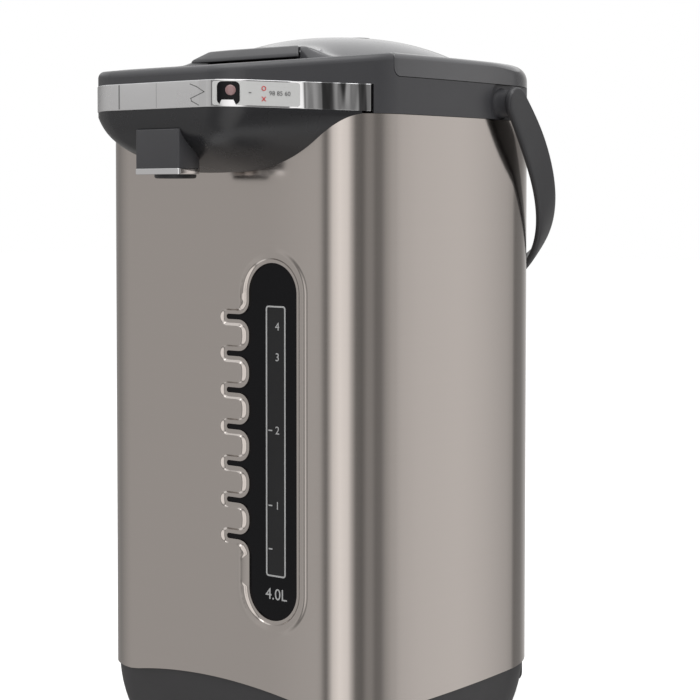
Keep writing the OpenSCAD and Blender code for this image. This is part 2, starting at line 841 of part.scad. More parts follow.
module throat() {
    foot_z = tank_top + seal_h;
    difference() {
        union() {
            disc([0, 0], mouth_r + 3, foot_z, seam_z - gap);
            disc([0, 0], tank_r + 1, foot_z, foot_z + 2.5);
        }
        disc([0, 0], mouth_r, foot_z - cut, seam_z + cut);
    }
}

module collar_skin() {
    deck_top = seam_z - gap;
    difference() {
        union() {
            intersection() {
                beak_top();
                above_strip();
            }
            body_prism(0, shell_top, deck_top);
        }
        body_prism(head_t, shell_top - cut, deck_top - head_t);
        intersection() {
            head_prism(wall_t, shell_top - cut, shell_top + 40);
            under_deck(head_t);
        }
        difference() {
            strip_zone(0, strip_end_y + strip_end_gap);
            head_prism(strip_t, shell_top - cut, shell_top + 40);
        }
        disc([0, 0], mouth_r, shell_top - cut, lid_top);
    }
}

module collar() {
    half = body_w / 2;
    color([0.28, 0.28, 0.29]) difference() {
        union() {
            collar_skin();
            difference() {
                body_prism(shell_t + seat_gap, shell_top - 6, shell_top + cut);
                body_prism(head_t, shell_top - 7, shell_top + 2 * cut);
            }
            throat();
            pivots(pivot_boss_r, half - 8, handle_half_w - strap_t - gap);
        }
        difference() {
            pivots(recess_r, half - recess_depth, half + cut);
            pivots(pivot_boss_r, 0, body_w);
        }
        pivots(pivot_pin_r + fit, half - 9, body_w);
        level_rod(tube_at, spout_at, hose_z, neck_r + hose_t + 0.4, 0, 0);
        screw_spots() translate([0, 0, -head_t - cut]) cylinder(r = screw_r + seat_gap, h = head_t + 2 * cut);
        on_deck(0) cylinder(r = key_r + seat_gap, h = 4 * key_h, center = true);
        for (x = [-side_key_x, side_key_x]) on_deck(x)
            cylinder(r = side_key_r + seat_gap, h = 4 * key_h, center = true);
    }
}

// Solid of the hood: each level is narrower and shorter than the one above it.
module hood_solid(e) {
    hull() for (i = [0:hood_levels - 1]) {
        u = 0.02 + 0.98 * pow(i / (hood_levels - 1), 1.6);
        translate([0, 0, shell_top - hood_depth * (1 - u) + e]) linear_extrude(0.05)
            polygon(hood_plan(pow(u, hood_width_power), 1 - pow(1 - u, hood_reach_power), e));
    }
}

module hood_top(e) {
    translate([0, 0, shell_top + e]) linear_extrude(hood_lip) polygon(hood_plan(1, 1, e));
}

module beak_hood() {
    color([0.25, 0.25, 0.26]) difference() {
        union() {
            hood_solid(0);
            hood_top(0);
        }
        union() {
            hood_solid(head_t);
            hood_top(head_t);
        }
        body_prism(0, shell_top - 2 * hood_depth, shell_top + 10);
        head_prism(wall_t, shell_top + 1, shell_top + 10);
        along_x([[beak_front - cut, strip_bottom(beak_front - cut)], [0, strip_bottom(0)],
            [0, shell_top + 40], [beak_front - cut, shell_top + 40]], -body_w, body_w);
        spout_block(seat_gap, band_bottom, spout_top + seat_gap);
        disc(spout_at, outlet_tube_r + seat_gap, band_bottom, shell_top);
    }
}

module strip_ring(e0, e1, g, y1) {
    difference() {
        intersection() {
            head_prism(e0, shell_top - cut, shell_top + 40);
            strip_zone(g, y1);
        }
        head_prism(e1, shell_top - 2 * cut, shell_top + 41);
    }
}

module control_strip() {
    color([0.82, 0.82, 0.82]) difference() {
        strip_ring(-strip_proud, strip_t, 0, strip_end_y);
        label_zone(0, label_seat);
    }
}

// Stretch of the strip that holds the label, shrunk by g, to depth e.
module label_zone(g, e) {
    difference() {
        intersection() {
            head_prism(g > 0 ? -strip_proud : -strip_proud - cut, shell_top, shell_top + 40);
            strip_zone(-label_rim - g, 0);
            slab([label_x0 + g, label_x1 - g], [beak_front - 5, hood_back], [shell_top, shell_top + 40]);
        }
        head_prism(-strip_proud + e, shell_top - cut, shell_top + 41);
    }
}

// Window and lens at the label's front end, facing out of the beak's corner.
module at_indicator(rise) {
    a = -90 + beak_crease + window_turn;
    translate([beak_cx, beak_cy, strip_top(beak_front) - strip_h / 2 + rise]) rotate([0, 90, a])
        translate([0, 0, beak_r + strip_proud]) children();
}

module label_plate() {
    color([0.72, 0.72, 0.71]) difference() {
        label_zone(fit, label_seat - fit);
        at_indicator(0) cube([window_size[0] + 2 * fit, window_size[1] + 2 * fit, 4], center = true);
    }
}

module indicator_window() {
    color([0.05, 0.05, 0.05]) difference() {
        intersection() {
            label_zone(fit, label_seat - 2 * fit);
            at_indicator(0) cube([window_size[0], window_size[1], 4], center = true);
        }
        at_indicator(lens_rise) cylinder(r = lens_r + fit, h = 8, center = true);
    }
}

module indicator_lens() {
    color([0.75, 0.35, 0.38]) at_indicator(lens_rise) translate([0, 0, 0.15 - label_seat])
        cylinder(r = lens_r, h = label_seat);
}

module deck_key(r) {
    under = head_t / cos(deck_tilt) + seat_gap;
    union() {
        translate([0, 0, -key_sink - key_h]) cylinder(r = r, h = key_h);
        translate([0, 0, -under - key_flange_t]) cylinder(r = r + key_flange, h = key_flange_t);
    }
}

module dispense_key() {
    color([0.35, 0.35, 0.36]) on_deck(0) deck_key(key_r);
}

module reboil_key() {
    color([0.35, 0.35, 0.36]) on_deck(-side_key_x) deck_key(side_key_r);
}

module unlock_key() {
    color([0.35, 0.35, 0.36]) on_deck(side_key_x) deck_key(side_key_r);
}

module key_mat() {
    color([0.6, 0.6, 0.6]) on_deck(0) translate([-mat_half, -mat_front, mat_z])
        cube([2 * mat_half, 2 * mat_front + 1, mat_t]);
}

module control_board() {
    color([0.1, 0.4, 0.2]) on_deck(0) union() {
        translate([-board_half, -mat_front - 1, mat_z - switch_h - board_t])
            cube([2 * board_half, 2 * mat_front + 3, board_t + 0.1]);
        for (x = [-side_key_x, 0, side_key_x]) translate([x - 3, -3, mat_z - switch_h]) cube([6, 6, switch_h]);
        for (x = [1 - board_half, board_half - 3]) translate([x, 8, mat_z - cut])
            cube([2, 3, -mat_z + cut - head_t / cos(deck_tilt)]);
    }
}

module power_board() {
    z = base_bottom + cover_t + 6;
    color([0.1, 0.4, 0.2]) union() {
        slab([-58, 0], [18, 58 - 12], [z, z + 1.6]);
        slab([-54, -34], [22, 40], [z + 1.6, z + 16]);
        slab([-28, -12], [24, 38], [z + 1.6, z + 12]);
        for (x = [-55, -4], y = [21, 43]) disc([x, y], 2.5, base_bottom + cover_t, z);
    }
}

// ---- Lid --------------------------------------------------------------

module lid_band(e, z0, z1) {
    intersection() {
        body_prism(e, z0, z1);
        slab([-body_w, body_w], [-lid_front + e, lid_hinge_y], [z0 - cut, z1 + cut]);
    }
}

// Dome over the middle of the lid, falling away as a power of the radius and bevelled at the hinge.
module dome(drop) {
    intersection() {
        translate([0, dome_y, lid_top - drop - cut]) rotate_extrude($fn = 96)
            polygon(concat([[0, 0]], [for (i = [dome_steps:-1:0]) let (r = dome_r * i / dome_steps)
                [r, cut + dome_h * (1 - pow(r / dome_r, dome_power))]]));
        lid_band(edge_r + drop, lid_top - 5 - drop, lid_top + 40);
        hull() {
            slab([-body_w, body_w], [-lid_front, lid_hinge_y], [seam_z, lid_top + 2 - drop]);
            slab([-body_w, body_w], [-lid_front, lid_hinge_y - 30], [seam_z, lid_top + 40 - drop]);
        }
    }
}

module lid_outer() {
    union() {
        hull() {
            lid_band(seam_bevel, seam_z, lid_top - edge_r);
            lid_band(0, seam_z + seam_bevel_h, lid_top - edge_r);
            lid_band(edge_r * 0.3, seam_z, lid_top - edge_r * 0.3);
            lid_band(edge_r, seam_z, lid_top);
        }
        dome(0);
        lever_cheeks();
        intersection() {
            body_prism(0, seam_z, lid_top);
            pin_x(lid_hinge_y, hinge_z, barrel_r, -body_w, body_w);
        }
    }
}

// Raised cheeks of the lid at both ends of the lever.
module lever_cheeks() {
    x = lever_half_w + gap;
    intersection() {
        for (s = [0, 1]) mirror([s, 0, 0]) hull() {
            slab([x - cut, x + 2.4], [-lever_back - 5.5, -lever_back + 4], [lid_top - cut, lever_z + cheek_h]);
            slab([x - cut, x + 14], [-lid_front, -lever_back + 24], [lid_top - cut, lid_top + 0.2]);
        }
        lid_band(edge_r, lid_top - cut, lid_top + 20);
    }
}

module lever_pocket() {
    x = lever_half_w + gap;
    slab([-x, x], [-lid_front - 20, -pocket_back], [lever_z - gap, lid_top + 40]);
}

module lid_cover() {
    ear = 3;
    color([0.33, 0.33, 0.34]) difference() {
        lid_outer();
        difference() {
            union() {
                lid_band(skin, seam_z - cut, lid_top - skin);
                dome(skin);
            }
            slab([-body_w, body_w], [lid_hinge_y - barrel_room - skin, body_d], [0, lid_top + cut]);
            slab([-lever_half_w - ear, lever_half_w + ear], [-lid_front, -pocket_back + skin],
                [lever_z - gap - skin, lid_top + cut]);
        }
        lever_pocket();
        pin_x(lever_pivot[0], lever_pivot[1], lever_pin_r + fit, -lever_half_w - ear, lever_half_w + ear);
        slab([-latch_half_w - gap, latch_half_w + gap], [-lid_front - cut, -lid_front + 2 * skin],
            [latch_z - gap, latch_z + latch_t + gap]);
        for (s = [0, 1]) mirror([s, 0, 0]) {
            pin_x(lid_hinge_y, hinge_z, barrel_room, lug_x - gap, lug_x + lug_t + gap);
            pin_x(lid_hinge_y, hinge_z, hinge_pin_r, lug_x - cut - 8, hinge_pin_half + seat_gap);
        }
        translate([0, vent_y, lid_top - skin - cut]) cylinder(r = vent_r - 2, h = 40);
        translate([0, vent_y, lid_top + dome_h - 1.8]) cylinder(r = vent_r + seat_gap, h = 40);
    }
}

module lid_lining() {
    top = seam_z + skin;
    plug_z = seam_z - plug_h;
    color([0.7, 0.7, 0.7]) difference() {
        union() {
            intersection() {
                body_prism(skin + seat_gap, seam_z, top);
                slab([-body_w, body_w], [-lid_front + skin + seat_gap, lid_hinge_y - barrel_room - skin - seat_gap],
                    [seam_z - cut, top + cut]);
            }
            disc([0, 0], plug_r, plug_z, top - cut);
        }
        disc([0, 0], plug_r - skin, plug_z + skin, top + cut);
        disc([0, vent_y], 3, plug_z - cut, top);
    }
}

module lid_gasket() {
    z = seam_z - 9;
    color([0.85, 0.85, 0.83]) tube([0, 0], gasket_r, plug_r, z, z + gasket_h);
}

module lid_hinge_pin() {
    color([0.75, 0.75, 0.77]) for (s = [0, 1]) mirror([s, 0, 0])
        pin_x(lid_hinge_y, hinge_z, hinge_pin_r, lug_x - 8, hinge_pin_half);
}

module rear_slice(e, top) {
    intersection() {
        body_prism(e, seam_z - gap, top);
        slab([-body_w, body_w], [lid_hinge_y + gap, body_d], [seam_z - cut, lid_top]);
    }
}

module rear_cover() {
    color([0.28, 0.28, 0.29]) union() {
        difference() {
            hull() {
                rear_slice(0, rear_top - edge_r);
                rear_slice(edge_r * 0.3, rear_top - edge_r * 0.3);
                rear_slice(edge_r, rear_top);
            }
            pin_x(lid_hinge_y, hinge_z, barrel_room, -body_w, body_w);
            screw_spots() translate([0, 0, -cut]) cylinder(r = screw_r, h = 6);
        }
        for (s = [0, 1]) mirror([s, 0, 0]) difference() {
            union() {
                pin_x(lid_hinge_y, hinge_z, barrel_r, lug_x, lug_x + lug_t);
                slab([lug_x, lug_x + lug_t], [lid_hinge_y + gap, lid_hinge_y + barrel_room + 2],
                    [seam_z, hinge_z - 1]);
            }
            pin_x(lid_hinge_y, hinge_z, hinge_pin_r + fit, lug_x - cut, lug_x + lug_t + cut);
        }
    }
}

// Screws that hold the rear cover down from inside the collar.
module screw_spots() {
    x = lug_x + lug_t + 10;
    for (x = [-x, x]) translate([x, lid_hinge_y + 10, seam_z - gap]) children();
}

module rear_cover_screws() {
    color([0.7, 0.7, 0.72]) screw_spots() {
        translate([0, 0, -head_t]) cylinder(r = screw_r, h = 4 + head_t);
        translate([0, 0, -head_t - screw_head_h]) cylinder(r = screw_head_r, h = screw_head_h);
    }
}

module lid_lever() {
    back_z = lever_z + lever_h + 0.6;
    color([0.2, 0.2, 0.21]) difference() {
        intersection() {
            along_x([[-lever_front, lever_z], [-lever_back - 3.5, lever_z], [-lever_back, lever_z + 2.4],
                [-lever_back, back_z], [-lever_front + 2.2, lever_z + lever_h - 1.2],
                [-lever_front + 0.5, lever_z + lever_h - 2.6]], -lever_half_w, lever_half_w);
            along_y(-lever_front - cut, 0) polygon([[-lever_half_w, lever_z - cut], [lever_half_w, lever_z - cut],
                [lever_half_w, lever_z + 1], [lever_half_w - lever_bevel, back_z + 1],
                [-lever_half_w + lever_bevel, back_z + 1], [-lever_half_w, lever_z + 1]]);
        }
        pin_x(lever_pivot[0], lever_pivot[1], lever_pin_r + fit, -lever_half_w - cut, lever_half_w + cut);
        pin_x(lever_pivot[0], lever_pivot[1], spring_r + 0.4, -spring_half - gap, spring_half + gap);
        slab([-spring_half - gap, spring_half + gap], [lever_pivot[0] - spring_r - 0.4, 0],
            [lever_z - cut, lever_pivot[1]]);
    }
}

module lever_pin() {
    color([0.75, 0.75, 0.77]) pin_x(lever_pivot[0], lever_pivot[1], lever_pin_r,
        -lever_half_w - 2.5, lever_half_w + 2.5);
}

module lever_spring() {
    color([0.7, 0.7, 0.72]) difference() {
        pin_x(lever_pivot[0], lever_pivot[1], spring_r, -spring_half, spring_half);
        pin_x(lever_pivot[0], lever_pivot[1], lever_pin_r + 0.15, -spring_half - cut, spring_half + cut);
    }
}

module latch_tongue() {
    color([0.75, 0.75, 0.72]) slab([-latch_half_w, latch_half_w], [-lid_front - 0.1, -lid_front + 9],
        [latch_z, latch_z + latch_t]);
}

module steam_vent() {
    top = lid_top + dome_h + 0.4;
    color([0.2, 0.2, 0.21]) difference() {
        disc([0, vent_y], vent_r, top - 2.2, top + vent_proud);
        for (x = [-3, 0, 3]) slab([x - 0.6, x + 0.6], [vent_y - 4, vent_y + 4], [top - 3, top + 2]);
    }
}

// ---- Handle -----------------------------------------------------------

// Quarter of the strap's outline: width falls away as the reach grows.
function strap_curve(half, reach) = [for (i = [0:strap_steps]) let (a = 90 * i / strap_steps)
    [half * pow(cos(a), 2 / strap_power), reach * pow(sin(a), 2 / strap_power)]];

// The strap as one band from one pivot round to the other.
function strap_outline() = let (
    outer = strap_curve(handle_half_w, handle_reach),
    inner = strap_curve(handle_half_w - strap_t, handle_reach - strap_t))
    concat(outer, [for (i = [strap_steps - 1:-1:0]) [-outer[i][0], outer[i][1]]],
        [for (i = [0:strap_steps]) [-inner[i][0], inner[i][1]]], [for (i = [strap_steps - 1:-1:0]) inner[i]]);

// Side outline of the strap: it narrows towards the pivots.
function strap_side() = let (half = [for (i = [0:strap_taper_steps]) let (k = i / strap_taper_steps)
        [k * strap_taper, pivot_end_r + (strap_w / 2 - pivot_end_r) * sin(90 * k)]])
    concat(half, [[handle_reach + cut, strap_w / 2], [handle_reach + cut, -strap_w / 2]],
        [for (i = [strap_taper_steps:-1:0]) [half[i][0], -half[i][1]]]);

module handle() {
    color([0.22, 0.22, 0.23]) translate([0, pivot_y, pivot_z]) rotate([-hang_angle, 0, 0]) union() {
        intersection() {
            translate([0, 0, -strap_w]) linear_extrude(2 * strap_w) polygon(strap_outline());
            along_x(strap_side(), -body_w, body_w);
        }
        for (s = [0, 1]) mirror([s, 0, 0]) {
            translate([handle_half_w - strap_t, 0, 0]) rotate([0, 90, 0]) cylinder(r = pivot_end_r, h = strap_t);
            translate([body_w / 2 - 7, 0, 0]) rotate([0, 90, 0])
                cylinder(r = pivot_pin_r, h = handle_half_w - body_w / 2 + 7 - strap_t / 2);
        }
    }
}

module gauge_panel() {
    color([0.05, 0.05, 0.06]) difference() {
        gauge_prism(panel_margin, panel_front, panel_front + panel_t);
        along_y(-body_d, 0) translate([window_x - window_w / 2, window_mid - window_len / 2])
            square([window_w, window_len]);
    }
}

module gauge_window() {
    color([0.4, 0.4, 0.42, 0.5]) intersection() {
        difference() {
            body_prism(panel_front + 0.3, gauge_mid - gauge_len, gauge_mid + gauge_len);
            body_prism(panel_front + 0.3 + window_t, gauge_mid - gauge_len - cut, gauge_mid + gauge_len + cut);
        }
        along_y(-body_d, 0) translate([window_x - window_w / 2, window_mid - window_len / 2])
            square([window_w, window_len]);
    }
}

outer_shell();
base_ring();
bottom_cover();
bottom_screws();
tank_support();
swivel_foot();
foot_pads();
swivel_clip();
inlet_housing();
inlet_pins();
inner_tank();
tank_seal();
heater_plate();
heater_element();
thermostats();
thermal_fuse();
pump_motor();
pump_housing();
pump_impeller();
suction_hose();
delivery_hose();
gauge_lower_fitting();
gauge_tube();
gauge_upper_fitting();
gauge_panel();
gauge_window();
outlet_hose();
valve_body();
valve_ball();
spout_tube();
spout_housing();
spout_band();
spout_nozzle();
collar();
beak_hood();
control_strip();
label_plate();
indicator_window();
indicator_lens();
dispense_key();
reboil_key();
unlock_key();
key_mat();
control_board();
power_board();
rear_cover();
rear_cover_screws();
lid_cover();
lid_lining();
lid_gasket();
lid_hinge_pin();
lid_lever();
lever_pin();
lever_spring();
latch_tongue();
steam_vent();
handle();
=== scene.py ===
"""Looks of an electric thermo pot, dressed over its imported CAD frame.

Every visible shell is a surface worked out with numpy from the pot's own plans: arcs for the body and the
beak, superellipses for the hood and the handle, and profiles for what is turned. Lengths are millimetres
until a mesh is made. The front looks towards -Y, the pot stands on z = 0, and +Z is up.
"""

from __future__ import annotations

import logging
import math
from collections.abc import Callable, Sequence
from dataclasses import dataclass, replace
from enum import Enum
from functools import cached_property, lru_cache

import bmesh
import bpy
import numpy as np
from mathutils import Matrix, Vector
from mathutils.geometry import delaunay_2d_cdt


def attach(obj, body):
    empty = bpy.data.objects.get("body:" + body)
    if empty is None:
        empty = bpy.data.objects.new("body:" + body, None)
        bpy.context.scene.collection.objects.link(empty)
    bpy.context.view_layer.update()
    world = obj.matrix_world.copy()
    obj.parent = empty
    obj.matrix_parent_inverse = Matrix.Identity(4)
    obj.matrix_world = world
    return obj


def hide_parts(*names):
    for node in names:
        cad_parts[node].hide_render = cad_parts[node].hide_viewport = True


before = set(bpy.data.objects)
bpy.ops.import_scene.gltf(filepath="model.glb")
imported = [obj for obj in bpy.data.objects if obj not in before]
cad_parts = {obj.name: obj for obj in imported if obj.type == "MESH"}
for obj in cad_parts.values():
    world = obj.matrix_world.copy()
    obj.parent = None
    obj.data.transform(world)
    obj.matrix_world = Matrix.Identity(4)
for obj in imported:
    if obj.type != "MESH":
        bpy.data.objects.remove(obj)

MM = 0.001
TINY = 1e-12
NOISE_SPAN = (0.3, 0.7)
log = logging.getLogger("thermo_pot")
Array = np.ndarray
Socket = bpy.types.NodeSocket
Lift = Callable[[Array], Array]
Bend = Callable[[Array, Array, Array], Array]
Pair = tuple[float, float]
Pairs = tuple[Pair, ...]
Size3 = tuple[float, float, float]
Marks = tuple[tuple[str, float, float, float], ...]


class Body(Enum):
    """The frame's bodies that the new pieces ride on."""

    POT = "pot"
    FOOT = "foot"
    LID = "lid"
    LEVER = "lever"
    DISPENSE = "dispense_button"
    REBOIL = "reboil_button"
    UNLOCK = "unlock_button"
    BAIL = "bail"


class Slot(Enum):
    """The record's material slots, one held by each new piece."""

    STEEL = "steel"
    BASE = "base_plastic"
    HEAD = "head_plastic"
    LID = "lid_plastic"
    HANDLE = "handle_plastic"
    CHROME = "chrome"
    LABEL = "label"
    GAUGE = "gauge_black"
    CLEAR = "clear"
    LENS = "lens"
    BLACK = "black_plastic"
    KEY = "key_plastic"
    RUBBER = "rubber"


# ---- Finishes ----------------------------------------------------------------


class Nodes:
    """A short way to write a material's node tree."""

    def __init__(self, name: str) -> None:
        """Starts an empty material with a Principled shader on its output.

        Args:
            name: The material's name.
        """
        self.material = bpy.data.materials.new(name)
        self.material.use_nodes = True
        self.tree = self.material.node_tree
        self.tree.nodes.clear()
        self.shader = self.add("ShaderNodeBsdfPrincipled")
        output = self.add("ShaderNodeOutputMaterial")
        self.tree.links.new(self.shader.outputs["BSDF"], output.inputs["Surface"])

    def add(self, kind: str, **settings: object) -> bpy.types.Node:
        """Adds a node.

        Args:
            kind: The node's type.
            settings: Properties by name, or socket values where no property has that name.

        Returns:
            The new node.
        """
        node = self.tree.nodes.new(kind)
        for key, value in settings.items():
            if hasattr(node, key):
                setattr(node, key, value)
            else:
                node.inputs[key.replace("_", " ").title()].default_value = value
        return node

    def link(self, source: Socket, target: Socket) -> None:
        """Joins two sockets."""
        self.tree.links.new(source, target)

    def place(self, stretch: Size3 = (1.0, 1.0, 1.0)) -> Socket:
        """Object coordinates, stretched along each axis.

        Args:
            stretch: Factor on each axis.

        Returns:
            The socket with the coordinates.
        """
        source = self.add("ShaderNodeTexCoord").outputs["Object"]
        mapping = self.add("ShaderNodeMapping")
        mapping.inputs["Scale"].default_value = stretch
        self.link(source, mapping.inputs["Vector"])
        return mapping.outputs["Vector"]

    def noise(self, scale: float, detail: float, stretch: Size3 = (1.0, 1.0, 1.0)) -> Socket:
        """Fractal noise over Object coordinates.

        Args:
            scale: Features per metre.
            detail: Octaves.
            stretch: Factor on each axis.

        Returns:
            The socket with the noise's value.
        """
        node = self.add("ShaderNodeTexNoise", scale=scale, detail=detail)
        self.link(self.place(stretch), node.inputs["Vector"])
        return node.outputs["Fac"]

    def ramp(self, source: Socket, span: Sequence[float], result: Sequence[float] = (0.0, 1.0),
             kind: str = "SMOOTHSTEP") -> Socket:
        """Maps one range of values on to another.

        Args:
            source: The value's socket.
            span: First and last value to map.
            result: What they become.
            kind: SMOOTHSTEP eases in and out, and LINEAR doesn't.

        Returns:
            The mapped socket.
        """
        node = self.add("ShaderNodeMapRange", interpolation_type=kind)
        for key, value in zip(("From Min", "From Max", "To Min", "To Max"), (*span, *result)):
            node.inputs[key].default_value = value
        self.link(source, node.inputs["Value"])
        return node.outputs["Result"]

    def spread(self, source: Socket, low: float, high: float) -> Socket:
        """Maps the middle of a noise's range on to low..high."""
        return self.ramp(source, NOISE_SPAN, (low, high), "LINEAR")

    def product(self, first: Socket, second: Socket) -> Socket:
        """Multiplies two values.

        Args:
            first: One value's socket.
            second: The other's.

        Returns:
            The product's socket.
        """
        node = self.add("ShaderNodeMath", operation="MULTIPLY")
        self.link(first, node.inputs[0])
        self.link(second, node.inputs[1])
        return node.outputs["Value"]

    def tint(self, source: Socket, colour: Sequence[float], change: float) -> None:
        """Lets the base colour drift a little with a noise.

        Args:
            source: The noise's socket.
            colour: Middle colour, linear.
            change: Share by which the colour moves to each side.
        """
        mix = self.add("ShaderNodeMix", data_type="RGBA")
        mix.inputs["A"].default_value = (*(c * (1 - change) for c in colour), 1)
        mix.inputs["B"].default_value = (*(min(1.0, c * (1 + change)) for c in colour), 1)
        self.link(self.spread(source, 0.0, 1.0), mix.inputs["Factor"])
        self.link(mix.outputs["Result"], self.shader.inputs["Base Color"])

    def relief(self, source: Socket, strength: float, depth_mm: float) -> None:
        """Turns a noise into surface relief.

        Args:
            source: The noise's socket.
            strength: Share of the relief that shows.
            depth_mm: Depth of the relief.
        """
        bump = self.add("ShaderNodeBump")
        bump.inputs["Strength"].default_value = strength
        bump.inputs["Distance"].default_value = depth_mm * MM
        self.link(source, bump.inputs["Height"])
        self.link(bump.outputs["Normal"], self.shader.inputs["Normal"])


@dataclass(frozen=True)
class Moulded:
    """Moulded plastic or rubber: a fine spark-eroded grain and a slightly uneven sheen."""

    name: str
    colour: Size3
    roughness: float = 0.45
    grain: float = 1600.0
    relief: float = 0.12
    change: float = 0.05
    coat: float = 0.0
    specular: float = 0.5
    transmission: float = 0.0
    uneven: float = 0.08
    drift_scale: float = 22.0
    sheen_scale: float = 70.0
    grain_mm: float = 0.05
    coat_roughness: float = 0.08

    def build(self) -> bpy.types.Material:
        """Makes the material.

        Returns:
            The material.
        """
        nodes = Nodes(self.name)
        shader = nodes.shader.inputs
        nodes.tint(nodes.noise(self.drift_scale, 2), self.colour, self.change)
        sheen = nodes.spread(nodes.noise(self.sheen_scale, 4), self.roughness * (1 - self.uneven),
                             self.roughness * (1 + self.uneven))
        nodes.link(sheen, shader["Roughness"])
        nodes.relief(nodes.noise(self.grain, 2), self.relief, self.grain_mm)
        shader["Coat Weight"].default_value = self.coat
        shader["Coat Roughness"].default_value = self.coat_roughness
        shader["Specular IOR Level"].default_value = self.specular
        shader["Transmission Weight"].default_value = self.transmission
        return nodes.material


@dataclass(frozen=True)
class Metal:
    """Metal with fine lines: long and thin along the direction in which it was brushed or drawn."""

    name: str
    colour: Size3
    roughness: float
    stretch: Size3
    relief: float
    change: float
    uneven: float = 0.12
    line_mm: float = 0.01

    def build(self) -> bpy.types.Material:
        """Makes the material.

        Returns:
            The material.
        """
        nodes = Nodes(self.name)
        lines = nodes.noise(1.0, 4, self.stretch)
        nodes.tint(lines, self.colour, self.change)
        sheen = nodes.spread(lines, self.roughness * (1 - self.uneven), self.roughness * (1 + self.uneven))
        nodes.link(sheen, nodes.shader.inputs["Roughness"])
        nodes.relief(lines, self.relief, self.line_mm)
        nodes.shader.inputs["Metallic"].default_value = 1.0
        return nodes.material


@dataclass(frozen=True)
class StripMetal:
    """The control strip's plating: satin on the beak's front, then bright, and wavy at its right end with
    painted dark reflection bands.
    """

    name: str = "plated_strip"
    colour: Size3 = (0.8, 0.8, 0.81)
    bright: float = 0.07
    satin: float = 0.3
    smear: Pair = (0.85, 1.2)
    turn_mm: Pair = (26.0, 27.0)
    wavy_mm: Pair = (58.0, 63.0)
    wave_detail: float = 0.8
    wave_depth: float = 3.4
    wave_stretch: Size3 = (105.0, 105.0, 14.0)
    band_stretch: Size3 = (125.0, 125.0, 10.0)
    band_edge: Pair = (0.5, 0.58)
    # share of the colour left in the bands: a painted reflection of a dark surround
    painted_reflection_tone: float = 0.16

    def build(self) -> bpy.types.Material:
        """Makes the material: its sheen, painted reflection bands and waves follow the object's own X.

        Returns:
            The material.
        """
        nodes = Nodes(self.name)
        shader = nodes.shader.inputs
        axes = nodes.add("ShaderNodeSeparateXYZ")
        nodes.link(nodes.place(), axes.inputs["Vector"])
        turn, wavy = ([edge * MM for edge in edges] for edges in (self.turn_mm, self.wavy_mm))
        sheen = nodes.ramp(axes.outputs["X"], turn, (self.satin, self.bright))
        smear = nodes.spread(nodes.noise(60, 3), *self.smear)
        nodes.link(nodes.product(sheen, smear), shader["Roughness"])
        nodes.tint(nodes.noise(35, 3), self.colour, 0.02)
        share = nodes.ramp(axes.outputs["X"], wavy)
        self.shade(nodes, share)
        waves = nodes.product(nodes.noise(1.0, self.wave_detail, self.wave_stretch), share)
        nodes.relief(waves, 1.0, self.wave_depth)
        shader["Metallic"].default_value = 1.0
        return nodes.material

    def shade(self, nodes: Nodes, share: Socket) -> None:
        """Paints dark reflections into the plating's colour, in upright bands where it is wavy.

        Args:
            nodes: The material's nodes.
            share: How wavy the plating is, from 0 to 1.
        """
        plain = nodes.shader.inputs["Base Color"].links[0].from_socket
        # painted reflection: the base colour is darkened in upright bands where the plating is wavy
        bands = nodes.ramp(nodes.noise(1.0, self.wave_detail, self.band_stretch), self.band_edge)
        mix = nodes.add("ShaderNodeMix", data_type="RGBA")
        mix.inputs["B"].default_value = (*(c * self.painted_reflection_tone for c in self.colour), 1)
        nodes.link(nodes.product(bands, share), mix.inputs["Factor"])
        nodes.link(plain, mix.inputs["A"])
        nodes.link(mix.outputs["Result"], nodes.shader.inputs["Base Color"])


@dataclass(frozen=True)
class Glass:
    """Clear glass."""

    name: str
    colour: Size3
    roughness: float = 0.04
    uneven: Pair = (0.8, 1.3)
    ior: float = 1.47

    def build(self) -> bpy.types.Material:
        """Makes the material.

        Returns:
            The material.
        """
        nodes = Nodes(self.name)
        shader = nodes.shader.inputs
        nodes.tint(nodes.noise(30, 2), self.colour, 0.03)
        sheen = nodes.spread(nodes.noise(90, 3), *(self.roughness * share for share in self.uneven))
        nodes.link(sheen, shader["Roughness"])
        shader["Transmission Weight"].default_value = 1.0
        shader["IOR"].default_value = self.ior
        return nodes.material


STEEL = Metal("brushed_steel", (0.56, 0.515, 0.485), 0.13, (3.0, 3.0, 4200.0), 0.01, 0.012)
LINER = Metal("liner_steel", (0.66, 0.66, 0.67), 0.3, (3.0, 3.0, 900.0), 0.05, 0.03)
ZINC = Metal("zinc_plate", (0.6, 0.6, 0.62), 0.35, (300.0, 300.0, 300.0), 0.05, 0.05)
BRASS = Metal("plated_brass", (0.78, 0.62, 0.34), 0.22, (60.0, 900.0, 60.0), 0.05, 0.04)
ALUMINIUM = Metal("cast_aluminium", (0.62, 0.62, 0.63), 0.45, (500.0, 500.0, 500.0), 0.3, 0.05)
CHROME = Metal("bright_plate", (0.8, 0.8, 0.81), 0.08, (40.0, 40.0, 40.0), 0.01, 0.02)
LABEL = Moulded("satin_label", (0.6, 0.6, 0.59), 0.38, relief=0.03, change=0.02, coat=0.2)
STRIP = StripMetal()
HEAD = Moulded("head_moulding", (0.046, 0.046, 0.05), 0.4, relief=0.1)
